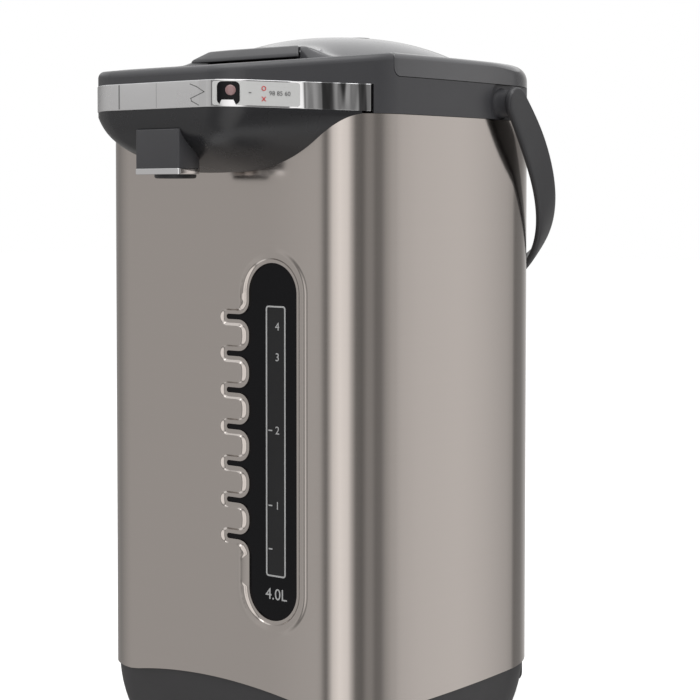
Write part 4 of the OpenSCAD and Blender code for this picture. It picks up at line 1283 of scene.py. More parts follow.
def figures(text: str, size: float, spot: Sequence[float], place: Bend, half_t: float = 0.04) -> Surface:
    """Figures in Blender's own font as a thin solid, bent on to a face.

    Args:
        text: The figures.
        size: Font size, about 1.4 times the figures' height.
        spot: Middle in the face's two coordinates.
        place: Carries both coordinates and the height above the face into space.
        half_t: Half the solid's thickness.

    Returns:
        The surface.
    """
    curve = bpy.data.curves.new("figures", "FONT")
    curve.body = text
    curve.size = size
    curve.align_x = "CENTER"
    curve.align_y = "CENTER"
    curve.extrude = half_t
    curve.resolution_u = 4
    holder = placed("figures", curve)
    mesh = as_mesh(holder)
    corners = np.empty(len(mesh.vertices) * 3)
    mesh.vertices.foreach_get("co", corners)
    corners = corners.reshape(-1, 3)
    mesh.calc_loop_triangles()
    triangles = np.empty(len(mesh.loop_triangles) * 3, int)
    mesh.loop_triangles.foreach_get("vertices", triangles)
    bpy.data.objects.remove(holder)
    bpy.data.curves.remove(curve)
    bpy.data.meshes.remove(mesh)
    bent = place(spot[0] + corners[:, 0], spot[1] + corners[:, 1], corners[:, 2])
    return Surface(bent, [triangles.reshape(-1, 3)])


def lettered(rows: Marks, origin: Sequence[float], place: Bend) -> Surface:
    """Several figures on one face.

    Args:
        rows: Text, font size and both coordinates of each.
        origin: What the coordinates are measured from.
        place: As for figures.

    Returns:
        The surface.
    """
    parts = [figures(text, size, (origin[0] + x, origin[1] + y), place) for text, size, x, y in rows]
    return sum(parts[1:], parts[0])


@dataclass
class SteelBody:
    """The brushed steel wrap, with its pressed border round the gauge and its arched lower edge.

    Loose mesh points are coarse all over, and fine near the gauge: rings at the distances ring_at outside its
    opening, lines along its border from border_at[0] to border_at[1], and a fine lattice beside its tongues.
    """

    gauge: LevelGauge
    plans: Plans = PLANS
    arch_rise: float = 6.0
    coarse: float = 8.0
    coarse_off: Pair = (10.0, 6.0)
    fine: float = 0.95
    fine_capsule: float = 9.4
    fine_edge: Pair = (3.7, 5.4)
    fine_off: float = 0.4
    ring_at: tuple[float, ...] = (0.7, 1.3, 1.65, 2.0, 2.35, 2.7, 3.2)
    border_at: Size3 = (3.8, 9.6, 0.55)

    def lower_edge(self, s: Array) -> Array:
        """The lower edge: level, with a circular arch across the front.

        Args:
            s: Lengths along the plan.

        Returns:
            Array of heights.
        """
        half = self.plans.centres["front"][0]
        radius = (half * half + self.arch_rise**2) / (2 * self.arch_rise)
        point = self.plans.body.at(s)[0]
        x = np.clip(np.abs(point[..., 0]), 0, half)
        arch = self.arch_rise - radius + np.sqrt(radius * radius - x * x)
        return self.plans.base_h + np.where(point[..., 1] < 0, arch, 0)

    def fine_points(self, opening: Array) -> Array:
        """Loose points beside the gauge's tongues and along its border.

        Args:
            opening: The gauge's outline in (s, z).

        Returns:
            Array of n by 2 in (s, z).
        """
        around = self.gauge.outline(self.coarse_off[0])
        spots = sown(around.min(0), around.max(0), (self.fine, self.fine))
        edge = distance(spots, [opening])
        near = (self.gauge.capsule(spots) < self.fine_capsule) | (edge < self.fine_edge[1])
        spots = spots[near & (edge > self.fine_edge[0]) & (spots[:, 0] < self.gauge.axis - self.fine_off)]
        return np.vstack([spots, *(self.gauge.border(grow) for grow in np.arange(*self.border_at))])

    def build(self) -> None:
        """Makes the wrap from one patch in (s, z)."""
        plan, top, gauge = self.plans.body, self.plans.shell_top, self.gauge
        columns = plan.columns(-plan.end, plan.end, 2.5, 6)
        rows = np.arange(self.plans.base_h + self.coarse, top, self.coarse)
        lower = np.column_stack([columns, self.lower_edge(columns)])
        side = np.column_stack([np.full(len(rows), plan.end), rows])
        outer = np.vstack([lower, side, at_height(columns[::-1], top), side[::-1] * [-1, 1]])
        opening = gauge.outline(0)
        coarse = lattice(columns, rows)
        coarse = coarse[gauge.capsule(coarse) > self.coarse_off[0]]
        coarse = coarse[distance(coarse, [opening]) > self.coarse_off[1]]
        rings = [gauge.outline(grow) for grow in self.ring_at]
        wrap = patch([outer, opening], np.vstack([coarse, *rings, self.fine_points(opening)]),
                     lambda flat: plan.lift(flat[:, 0], flat[:, 1], gauge.press(flat)), 0.4)
        make(wrap, Piece("steel_wrap", Body.POT, Slot.STEEL, STEEL, ("outer_shell",), wall=gauge.sheet))


# ---- Base and foot -----------------------------------------------------------


@dataclass
class Base:
    """The dark base, the swivel foot, its pads and the power inlet."""

    plans: Plans = PLANS
    inset: float = 1.2
    taper: float = 7.0
    straight: float = 0.15
    turn_under: Pair = (2.4, 2.5)
    under_w: float = 1.2
    skirt_wall: float = 2.2
    bottom: float = 7.0
    lip: float = 10.0
    foot_r: float = 71.0
    foot_round: Pair = (2.0, 1.2)
    groove_in: Pair = (26.0, 30.0)
    groove_slope: float = 0.6
    groove_h: float = 0.8
    hub_r: float = 11.95
    hub_wall: float = 4.0
    hub_h: float = 6.5
    hub_bevel: float = 0.8
    hub_gap: float = 0.4
    pad_in: float = 12.0
    pad_r: float = 7.0
    pad_h: float = 1.5
    pad_edge: Pair = (0.5, 0.12)
    pad_sunk: float = 0.3
    inlet_w: float = 56.0
    inlet_x: float = 16.0
    inlet_y: Pair = (78.0, 108.0)
    inlet_z: Pair = (5.5, 33.0)
    inlet_r: float = 5.0
    inlet_round: Pair = (0.5, 1.8)
    socket: Pair = (30.0, 14.0)
    socket_r: float = 1.6
    socket_bevel: float = 0.8
    socket_depth: float = 13.6

    def build(self) -> None:
        """Makes all pieces."""
        self.build_skirt()
        self.build_foot()
        self.build_pads()
        self.build_inlet()

    def build_skirt(self) -> None:
        """The skirt: its side draws in as the square of the drop, then turns under in a quarter round."""
        plan, h = self.plans.body, self.plans.base_h
        across, down = self.turn_under
        z = np.linspace(h, self.bottom + down, 14)
        drop = (h - z) / (h - self.bottom)
        draw = self.straight * drop + (1 - self.straight) * drop**2
        side = np.column_stack([self.inset + self.taper * draw, z])
        turn = np.radians(np.linspace(15, 90, 6))
        under = side[-1] + np.column_stack([across * (1 - np.cos(turn)), -down * np.sin(turn)])
        first, last = (self.inset, h + self.lip), (under[-1, 0] + self.under_w, self.bottom)
        profile = np.vstack([[first], side, under, [last]])
        columns = plan.columns(-plan.end, plan.end)
        wall = plan.lift(columns[None, :], profile[:, 1:], profile[:, :1])
        make(grid(wall), Piece("base_skirt", Body.POT, Slot.BASE, BASE, ("base_ring",), wall=self.skirt_wall))

    def build_foot(self) -> None:
        """The foot: a turned disc with a rounded rim, a ring groove underneath and a stepped hub."""
        low, top = self.pad_h, self.bottom - self.plans.gap
        r, hub, bore = self.foot_r, self.hub_r, self.hub_r - self.hub_wall
        rim = round_profile(low, top, *self.foot_round, 6)
        wide, narrow = (r - inset for inset in self.groove_in)
        roof, peak = low + self.groove_h, self.bottom + self.hub_h
        slope = self.groove_slope
        groove = [(narrow, low), (narrow + slope, roof), (wide - slope, roof), (wide, low)]
        under = [(0, 0), (hub - self.hub_bevel, 0), (hub, self.hub_bevel), (hub, low), *groove]
        inner = [(hub + self.hub_gap, top), (hub, top), (hub, peak), (bore, peak)]
        inner += [(bore, 2 * low), (0, 2 * low)]
        profile = np.vstack([under, np.column_stack([r - rim[:, 0], rim[:, 1]]), inner])
        make(lathe(profile, (0, 0, 0), count=128),
             Piece("turning_foot", Body.FOOT, Slot.BLACK, BLACK, ("swivel_foot",), sharp=35))

    def build_pads(self) -> None:
        """Four round pads with softened edges under the foot."""
        r, top = self.pad_r, self.pad_h + self.pad_sunk
        edge, soft = self.pad_edge
        profile = np.array([(0, 0), (r - edge, 0), (r - soft, soft), (r, edge), (r, top), (0, top)])
        ring = self.foot_r - self.pad_in
        spots = [(ring * math.cos(a), ring * math.sin(a), 0) for a in np.radians(45 + 90 * np.arange(4))]
        pads = [lathe(profile, spot, count=40) for spot in spots]
        make(sum(pads[1:], pads[0]), Piece("soft_pads", Body.FOOT, Slot.RUBBER, RUBBER, ("foot_pads",)))

    def build_inlet(self) -> None:
        """The inlet: a rounded block carried back out of the base, with a socket sunk into its end."""
        low, high = self.inlet_z
        centre = (self.inlet_x, (low + high) / 2)
        face = rounded_box((self.inlet_w / 2, (high - low) / 2), self.inlet_r, 9)
        mouth = rounded_box([size / 2 for size in self.socket], self.socket_r, 9)
        end, bevel = self.inlet_y[1], self.socket_bevel
        floor = end - self.socket_depth
        sides = round_profile(*self.inlet_y, *self.inlet_round, 6)
        rings = [(face - inset * outward(face), y) for inset, y in sides]
        rings += [(mouth + bevel * outward(mouth), end), (mouth, end - bevel)]
        rings += [(mouth, floor), (mouth * 0.02, floor)]
        points = np.stack([np.insert(flat + centre, 1, y, 1) for flat, y in rings])
        make(capped(points), Piece("power_inlet", Body.POT, Slot.BLACK, BLACK, ("inlet_housing",), sharp=45))


# ---- Head --------------------------------------------------------------------


@dataclass
class Head:
    """The collar with its deck, the hood, the control strip, the keys, the spout and the rear cover.

    Heights whose names end in _drop are measured down from the steel's upper edge. Places on the strip are
    (s, height above its lower edge), and those beside the signal window are measured from its middle.
    """

    plans: Plans = PLANS
    shadow_gap: float = 0.22
    pivot: Pair = (25.5, 309.8)
    boss_r: float = 6.6
    boss_x: Pair = (83.0, 91.1)
    boss_bore: float = 4.05
    dish_r: float = 12.5
    dish_w: float = 4.5
    dish: float = 1.5
    seam_r: float = 4.0
    seam_steps: tuple[float, ...] = (0.0, 0.1, 0.4, 0.9, 1.6, 2.4, 3.2, 4.0)
    band_lip: float = 1.6
    corner_in: float = 0.4
    mouth_r: float = 54.5
    mouth_edge: float = 0.8
    hood_depth: float = 25.65
    hood_width_power: float = 3.05
    hood_reach_power: float = 2.7
    hood_back: float = -74.0
    hood_lip: float = 2.6
    strip_h: float = 12.0
    strip_top_h: float = 14.45
    strip_fall: float = 1.45
    strip_proud: float = 0.35
    strip_in: float = 2.0
    strip_r: float = 0.35
    strip_stop: float = 0.56
    strip_gap: float = 0.25
    groove_in: float = 2.4
    plate_wall: float = 0.35
    label_from: float = 3.05
    label_to: float = -96.2
    label_edge: float = 0.75
    window_turn: float = 23.6
    window_half: float = 5.0
    window_r: float = 2.2
    window_proud: float = 0.16
    lens_r: float = 2.3
    lens_h: float = 0.5
    lens_at: Pair = (1.0, 1.2)
    joints: tuple[tuple[str, float, float], ...] = (
        ("left_joint", -23.5, 0.34), ("middle_joint", 0.3, 0.06), ("label_joint", 33.7, 0.2))
    zigzag: Pairs = (
        (21.3, 10.3), (25.2, 9.0), (29.7, 6.6), (21.7, 4.0), (22.1, 2.8), (26.4, 0.9))
    zigzag_half: float = 0.2
    notch: Pairs = ((-4.0, 0.7), (3.4, 0.7), (2.3, 3.0), (-2.9, 3.0))
    notch_proud: float = 0.24
    symbols_proud: float = 0.2
    red: Marks = (("o", 4.4, 15.5, 8.6), ("x", 4.4, 15.5, 4.0))
    grey: Marks = (("98 85 60", 2.7, 22.6, 6.2), ("-", 4.6, 9.4, 6.6))
    key_y: float = -92.0
    key_r: float = 9.0
    side_key_r: float = 6.5
    side_key_x: float = 27.0
    key_gap: float = 0.35
    key_hole: Pairs = ((0.0, 0.0), (0.25, 0.12), (0.35, 0.35), (0.35, 2.6))
    key_marks: Marks = (
        ("o", 5.0, 0.0, -14.5), ("1", 4.0, -27.0, -11.0), ("2", 4.0, 27.0, -11.0))
    key_mark_gap: float = 0.03
    spout_w: float = 27.3
    spout_back: float = 12.0
    spout_depth: float = 23.0
    spout_flat: float = 3.6
    spout_r: float = 1.2
    spout_drop: float = 6.5
    trim_drop: Pair = (24.1, 26.8)
    trim_proud: float = 0.2
    nozzle_r: float = 9.5
    nozzle_drop: float = 28.5
    nozzle_bore: float = 4.0
    lug: Size3 = (22.0, 30.0, 0.3)

    @cached_property
    def strip_end_y(self) -> float:
        """Y at which the strip ends."""
        return self.plans.centres["front"][1] - self.plans.front_r * self.strip_stop

    def strip_top(self, y: Array | float) -> Array | float:
        """Height of the strip's upper edge at y."""
        slope = self.strip_fall / (self.plans.beak_reach + self.strip_end_y)
        return self.plans.shell_top + self.strip_top_h - slope * (y + self.plans.beak_reach)

    def build(self) -> None:
        """Makes all pieces."""
        self.build_collar()
        self.build_hood()
        self.build_strip()
        self.build_label()
        self.build_keys()
        self.build_spout()
        self.build_rear_cover()

    # -- collar

    def edge_rows(self, columns: Array) -> Array:
        """The beak's rounded upper edge: a quarter round of the edge radius that follows the deck.

        Args:
            columns: Lengths along the plan.

        Returns:
            Rows of points, from the wall to the deck.
        """
        r, angle = self.plans.edge_r, quarter(8)[:, None]
        rows = self.plans.head.lift(columns[None, :], 0.0, r * (1 - np.cos(angle)))
        rows[..., 2] = self.plans.deck_z(rows[..., 1]) - r * (1 - np.sin(angle))
        return rows

    def wall_rows(self, columns: Array, low: Array, high: Array, count: int) -> Array:
        """Rows of the head's wall between two heights at each column."""
        share = np.linspace(0, 1, count)[:, None]
        return self.plans.head.lift(columns[None, :], low + (high - low) * share)

    def build_collar(self) -> None:
        """Makes the collar: beak wall, rounded edge, deck, side band, shelf and throat."""
        plan, p = self.plans.head, self.plans
        seam, end = plan.at_y(-p.lid_front - p.gap), plan.at_y(self.strip_end_y + 1)
        edge = self.edge_rows(plan.columns(-seam, seam, 3, 6))
        surface = grid(edge)
        inwards = np.array([[0.0], [self.groove_in]])
        for first, last, above in ((-end, end, True), (end, seam, False), (-seam, -end, False)):
            columns = plan.columns(first, last, 3, 6)
            y = plan.at(columns)[0][:, 1]
            low = self.strip_top(y) if above else np.full(len(columns), p.shell_top + self.shadow_gap)
            surface += grid(self.wall_rows(columns, low, p.deck_z(y) - p.edge_r, 4))
            if above:
                surface += grid(plan.lift(columns[None, :], low, inwards))
        heights = np.array([[p.shell_top], [self.strip_top(self.strip_end_y)]])
        for s in (end, -end):
            surface += grid(plan.lift(np.full((2, 2), s), heights, inwards.T))
        surface += self.deck(edge[-1]) + self.band(seam) + self.shelf() + self.boss().both()
        make(surface, Piece("head_collar", Body.POT, Slot.HEAD, HEAD, ("collar",), sharp=38))

    def deck(self, rim: Array) -> Surface:
        """The sloping deck between the rounded edge and the lid, with its three key holes.

        Args:
            rim: Points of the rounded edge's upper row.

        Returns:
            The deck, the holes' walls and the step down to the shelf.
        """
        p = self.plans
        back = -p.lid_front - p.gap
        x = float(rim[-1, 0])
        rear = np.column_stack([np.linspace(x, -x, 22)[1:-1], np.full(20, back)])
        keys = ((0, self.key_r), (self.side_key_x, self.side_key_r), (-self.side_key_x, self.side_key_r))
        holes = [arc((x, self.key_y), r + self.key_gap, 0, 354, 60) for x, r in keys]
        surface = patch([np.vstack([rim[:, :2], rear]), *holes], sown((-80, -122), (81, -60), (6, 6)),
                        lambda flat: at_height(flat, p.deck_z(flat[:, 1])), 1.0)
        for hole in holes:
            z, out = p.deck_z(hole[:, 1]), outward(hole)
            rings = [at_height(hole - inset * out, z - fall) for inset, fall in self.key_hole]
            surface += grid(np.stack(rings), wrap=True)
        face = np.stack([at_height(rear, z) for z in (p.deck_z(back), p.seam_z - p.gap)])
        ends = face[:, [0, -1]].copy()
        reach = p.half_width(np.array([back])) - [p.edge_r, self.corner_in]
        ends[..., 0] = np.stack([reach, -reach], 1)
        return surface + grid(np.concatenate([ends[:, :1], face, ends[:, 1:]], 1))

    def band(self, seam: float) -> Surface:
        """The collar's side band, dished round the handle's pivots, with a round corner under the lid's.

        Args:
            seam: Length at which the lid's front seam meets the plan.

        Returns:
            The band from seam to seam round the back.
        """
        plan, p = self.plans.head, self.plans
        top = p.seam_z - p.gap
        centre = plan.at_y(self.pivot[0])
        fine = np.arange(centre - self.dish_r - 1, centre + self.dish_r + 1, 0.8)
        near = seam + np.array(self.seam_steps)
        columns = np.unique(np.concatenate([plan.columns(seam, plan.end, 3, 6), fine, near]))
        low = p.shell_top + self.shadow_gap
        high = top + round_corner(columns - seam, self.seam_r)
        z = low + (high - low) * np.linspace(0, 1, 18)[:, None]
        reach = np.hypot(columns[None, :] - centre, z - self.pivot[1])
        depth = self.dish * (1 - smoothstep(self.dish_r - self.dish_w, self.dish_r, reach))
        wall = plan.lift(columns[None, :], z, depth)
        lip = plan.lift(columns[None, :], low, self.band_lip)
        return grid(np.concatenate([lip, wall])).both()

    def shelf(self) -> Surface:
        """The flat shelf under the lid, and the throat that runs down to the tank.

        Returns:
            The surface.
        """
        p, r, edge = self.plans, self.mouth_r, self.mouth_edge
        top, floor = p.seam_z - p.gap, p.shell_top + 2
        columns = p.head.columns(p.head.at_y(-p.lid_front - p.gap), p.head.end)
        right = p.head.lift(columns, top, 0.02)[:, :2]
        outer = np.vstack([right, (right[::-1] * [-1, 1])[1:]])
        flat = patch([outer, arc((0, 0), r + edge, 0, 357, 120)], sown((-84, -60), (85, 84), (7, 7)),
                     lambda flat: at_height(flat, top), 2.0)
        throat = np.array([(r + edge, top), (r + 0.2, top - 0.25), (r, top - 0.9), (r, floor),
                           (r + 3, floor)])
        return flat + lathe(throat, (0, 0, 0), count=120)

    def boss(self) -> Surface:
        """The boss that carries one end of the handle.

        Returns:
            The surface.
        """
        r, (start, end), bore = self.boss_r, self.boss_x, self.boss_bore
        profile = np.array([(r + 1.6, start), (r + 0.5, start + 2.4), (r, start + 3.6), (r, end - 0.6),
                            (r - 0.6, end), (bore, end), (bore, start - 3)])
        return lathe(profile, (0, *self.pivot), axis="x", count=48)

    # -- hood

    def build_hood(self) -> None:
        """The hood: the beak's plan, narrowed and shortened by two powers of the height above its keel."""
        p, plan = self.plans, self.plans.head
        side = plan.at_y(self.hood_back)
        columns = plan.columns(-side, side, 3, 4)
        outline = plan.at(columns)[0]
        u = np.linspace(0, 1, 26)[:, None] ** 1.5
        back = -p.depth / 2
        x = outline[None, :, 0] * np.maximum(u, 1e-4) ** (1 / self.hood_width_power)
        y = back + (outline[None, :, 1] - back) * (1 - (1 - u) ** self.hood_reach_power)
        z = np.broadcast_to(p.shell_top - self.hood_depth * (1 - u), x.shape)
        high = self.strip_top(outline[:, 1]) - self.strip_h
        lip = at_height(outline, high)[None]
        inner = plan.lift(columns, high, self.hood_lip)[None]
        # its finish is painted darker than the head's: painted shade under the beak
        make(grid(np.concatenate([np.stack([x, y, z], -1), lip, inner])),
             Piece("beak_bowl", Body.POT, Slot.HEAD, DARKENED_HOOD, ("beak_hood",), sharp=50))

    # -- strip

    def build_strip(self) -> None:
        """The bright strip round the beak: a flat face with rounded edges, closed at both ends."""
        plan, r = self.plans.head, self.strip_r
        end = plan.at_y(self.strip_end_y) - self.strip_gap
        columns = plan.columns(-end, end, 1.5, 3)
        turn = quarter(5)
        upper = np.column_stack([-self.strip_proud + r * (1 - np.sin(turn)), -r * (1 - np.cos(turn))])
        lower = upper[::-1] * [1, -1] + [0, -self.strip_h]
        section = np.vstack([[(self.strip_in, 0.0)], upper, lower, [(self.strip_in, -self.strip_h)]])
        top = self.strip_top(plan.at(columns)[0][:, 1])
        rings = plan.lift(columns[None, :], top + section[:, 1:], section[:, :1])
        make(capped(rings.transpose(1, 0, 2)),
             Piece("bright_strip", Body.POT, Slot.CHROME, STRIP, ("control_strip",), sharp=35))

    def on_strip(self, s: Array, height: Array, out: Array | float) -> Array:
        """Points in front of the strip's face.

        Args:
            s: Lengths along the head's plan.
            height: Heights above the strip's lower edge.
            out: Distances in front of the face.

        Returns:
            Array with a last axis of 3.
        """
        low = self.strip_top(self.plans.head.at(s)[0][:, 1]) - self.strip_h
        return self.plans.head.lift(s, low + height, -self.strip_proud - out)

    def face(self, out: float) -> Lift:
        """Carries (s, height) on to the strip's face, raised by a distance."""
        return lambda flat: self.on_strip(flat[:, 0], flat[:, 1], out)

    def plate(self, loop: Array, out: float, piece: Piece) -> None:
        """Makes a thin plate on the strip's face.

        Args:
            loop: Outline in (s, height).
            out: How far its face stands above the strip.
            piece: How it is made.
        """
        loop = dense(loop)
        fill = sown(loop.min(0), loop.max(0), (1.2, 3))
        make(patch([loop], fill, self.face(out)), replace(piece, wall=self.plate_wall))

    def build_label(self) -> None:
        """The pale label with its plain symbols, the dark window at its front and the lens."""
        half_h = self.strip_h / 2
        first, last = self.plans.beak_flat + self.label_from, self.plans.head.at_y(self.label_to)
        middle = np.array([(first + last) / 2, half_h])
        label = rounded_box(((last - first) / 2, half_h - self.label_edge), 1.2) + middle
        window_s = self.plans.beak_flat + math.radians(self.window_turn) * self.plans.beak_r
        window = rounded_box((self.window_half, self.window_half), self.window_r, 9) + (window_s, half_h)
        self.plate(label, 0.06, Piece("label_face", Body.POT, Slot.LABEL, LABEL, ("label_plate",)))
        self.plate(window, self.window_proud,
                   Piece("signal_window", Body.POT, Slot.GAUGE, GAUGE, ("indicator_window",)))
        angle = np.linspace(0, 2 * np.pi, 32, endpoint=False)
        circle = self.lens_r * np.column_stack([np.cos(angle), np.sin(angle)])
        centre = np.array([window_s + self.lens_at[0], half_h + self.lens_at[1]])
        rings = [self.face(-0.3)(centre + circle)]
        rings += [self.face(self.window_proud + self.lens_h * math.sin(a))(centre + math.cos(a) * circle)
                  for a in quarter(6)]
        make(grid(np.stack(rings), wrap=True),
             Piece("signal_lens", Body.POT, Slot.LENS, LENS, ("indicator_lens",)))
        self.build_symbols(window_s)
        self.build_engraving(window_s)

    def build_engraving(self, window_s: float) -> None:
        """Thin dark joints across the strip, a zigzag line, and a bright notch under the window.

        Args:
            window_s: Length at the window's middle.
        """
        half_h = self.strip_h / 2
        for name, at, half in self.joints:
            loop = rounded_box((half, half_h - 0.5), 0.05, 2) + (at, half_h)
            self.plate(loop, 0.04, Piece(name, Body.POT, Slot.GAUGE, GREY_INK))
        make(self.stroke(np.array(self.zigzag), self.zigzag_half),
             Piece("zigzag_line", Body.POT, Slot.GAUGE, GREY_INK, wall=0.2))
        notch = np.array(self.notch) + (window_s, 0)
        self.plate(notch, self.notch_proud, Piece("window_notch", Body.POT, Slot.CHROME, CHROME))

    def stroke(self, line: Array, half: float) -> Surface:
        """A drawn line on the strip's face, one narrow plate for each straight run.

        Args:
            line: Corners in (s, height).
            half: Half the line's width.

        Returns:
            The surface.
        """
        parts = []
        for start, end in zip(line, line[1:]):
            along = (end - start) / np.linalg.norm(end - start) * half
            across = np.array([-along[1], along[0]])
            tail, head = start - along, end + along
            loop = np.array([tail - across, head - across, head + across, tail + across])
            parts.append(patch([dense(loop)], NO_FILL, self.face(0.05)))
        return sum(parts[1:], parts[0])

    def build_symbols(self, window_s: float) -> None:
        """Plain symbols: a red ring over a red cross, and grey figures.

        Args:
            window_s: Length at the window's middle.
        """
        def place(s: Array, height: Array, up: Array) -> Array:
            """Bends a figure on to the strip's face."""
            return self.on_strip(s, height, self.symbols_proud + up)
        for name, slot, ink, rows in (("red_symbols", Slot.LENS, RED_INK, self.red),
                                      ("grey_symbols", Slot.LABEL, GREY_INK, self.grey)):
            make(lettered(rows, (window_s, 0), place), Piece(name, Body.POT, slot, ink))

    # -- keys and spout

    def build_keys(self) -> None:
        """Three keys with dished faces, level with the sloping deck, and plain marks in front of them."""
        p, y, side = self.plans, self.key_y, self.side_key_x
        tilt, z = math.degrees(math.atan(p.deck_slope)), p.deck_z(self.key_y)
        keys = (("dispense", 0.0, self.key_r, Body.DISPENSE), ("reboil", -side, self.side_key_r, Body.REBOIL),
                ("unlock", side, self.side_key_r, Body.UNLOCK))
        for name, x, r, body in keys:
            profile = [(0, -0.9), (r * 0.45, -0.8), (r * 0.75, -0.5), (r - 1.0, -0.3), (r - 0.45, -0.32),
                       (r - 0.1, -0.55), (r, -0.9), (r, -3.0), (r + 1.0, -3.0), (r + 1.0, -4.1), (r, -4.1),
                       (r, -5.3), (0, -5.3)]
            shape = lathe(np.array(profile)[::-1], (x, y, z), count=56).turned(tilt, (y, z))
            make(shape, Piece(f"{name}_cap", body, Slot.KEY, KEYS, (f"{name}_key",), sharp=35))

        def place(x: Array, y: Array, up: Array) -> Array:
            """Lays a figure on the deck."""
            return np.stack([x, y, p.deck_z(y) + self.key_mark_gap + up], -1)
        make(lettered(self.key_marks, (0, y), place), Piece("key_marks", Body.POT, Slot.LABEL, INK))

    def spout_loop(self, grow: float) -> Array:
        """The spout housing's plan: a flat front with small round corners, and an elliptical back.

        Args:
            grow: How far the plan is moved outwards.

        Returns:
            Array of n by 2, anticlockwise.
        """
        beak, half, r = -self.plans.beak_reach, self.spout_w / 2 + grow, self.spout_r
        turn = np.radians(np.linspace(0, 180, 25))
        deep = self.spout_depth - self.spout_flat + grow
        back = np.column_stack([half * np.cos(turn), beak + self.spout_flat + deep * np.sin(turn)])
        left = arc((r - half, beak - grow + r), r, 180, 270, 7)
        right = arc((half - r, beak - grow + r), r, 270, 360, 7)
        return np.vstack([back, left, right])

    def build_spout(self) -> None:
        """The flat-fronted housing with its bright band, and the round nozzle below."""
        top = self.plans.shell_top
        band_high, band_low = (top - drop for drop in self.trim_drop)
        housing = block(self.spout_loop(0), round_profile(band_high, top - self.spout_drop, 0.25, 0.5))
        make(housing, Piece("spout_block", Body.POT, Slot.HEAD, HEAD, ("spout_housing",), sharp=35))
        band = block(self.spout_loop(self.trim_proud), round_profile(band_low, band_high, 0.5, 0.25))
        make(band, Piece("spout_trim", Body.POT, Slot.CHROME, CHROME, ("spout_band",), sharp=35))
        r, bore = self.nozzle_r, self.nozzle_bore
        inner = [(bore, 9), (bore, 1.9), (bore + 0.6, 1.5), (r - 1.8, 1.5), (r - 1.5, 0.3)]
        outer = [(r - 1.0, 0), (r - 0.4, 0.15), (r, 0.7), (r, 2.4), (r - 0.5, 3.9)]
        tip = (0, self.spout_back - self.plans.beak_reach, top - self.nozzle_drop)
        make(lathe(np.array(inner + outer), tip),
             Piece("round_nozzle", Body.POT, Slot.BLACK, BLACK, ("spout_nozzle",)))

    # -- rear cover

    def build_rear_cover(self) -> None:
        """The fixed cover behind the lid: a rounded edge round the back, hollowed round the lid's bead."""
        p, plan = self.plans, self.plans.body
        low, top, r, room = p.seam_z - p.gap, p.rear_top, p.edge_r, p.bead_room
        front = p.lid_back + p.gap
        reach = p.lid_back + math.sqrt(room**2 - (top - p.hinge_z) ** 2)
        start = plan.at_y(front)
        near = start + np.array([0.4, 0.8, 1.2, 1.6, 2.0, 2.4, 2.8, 3.2, 3.5])
        right = np.unique(np.concatenate([plan.columns(start, plan.end), near]))
        columns = np.concatenate([right, -right[::-1][1:]])
        turn = quarter(8)
        edge = np.column_stack([r * (1 - np.cos(turn)), top - r * (1 - np.sin(turn))])
        profile = np.vstack([[(0, low)], edge])
        wall = plan.lift(columns[None, :], profile[:, 1:], profile[:, :1])
        ahead = np.clip(wall[..., 1] - p.lid_back, 0, reach - p.lid_back)
        under = p.hinge_z - np.sqrt(np.maximum(room**2 - ahead**2, 0))
        wall[..., 2] = np.where(wall[..., 1] < reach, np.minimum(wall[..., 2], under), wall[..., 2])
        rim = wall[-1, :, :2]
        x = float(p.half_width(np.array([reach]), r)[0])
        outer = np.vstack([rim[rim[:, 1] > reach + 0.2], [(-x, reach), (x, reach)]])
        flat = patch([outer], sown((-70, 66), (71, 84), (8, 5)), lambda flat: at_height(flat, top), 1.0)
        hollow = np.linspace(math.asin((top - p.hinge_z) / room), -math.acos(p.gap / room), 14)
        curve = np.column_stack([p.lid_back + room * np.cos(hollow), p.hinge_z + room * np.sin(hollow)])
        curve = np.vstack([curve, [(front, low)]])
        into = np.clip(curve[:, 1] - (top - r), 0, r)
        width = p.half_width(curve[:, 0]) - (r - np.sqrt(r * r - into * into))
        across = width[:, None] * np.linspace(-1, 1, 9)
        inner = np.stack([across, *(np.broadcast_to(curve[:, k:k + 1], across.shape) for k in (0, 1))], -1)
        first, last, soft = self.lug
        bead = p.bead_r
        lug = np.array([(0, first), (bead - soft, first), (bead, first + soft), (bead, last - soft),
                        (bead - soft, last), (0, last)])
        shape = grid(wall) + flat + grid(inner)
        shape += lathe(lug, (0, p.lid_back, p.hinge_z), axis="x", count=40).both()
        make(shape, Piece("back_cover", Body.POT, Slot.HEAD, HEAD, ("rear_cover",), sharp=38))


# ---- Lid ---------------------------------------------------------------------


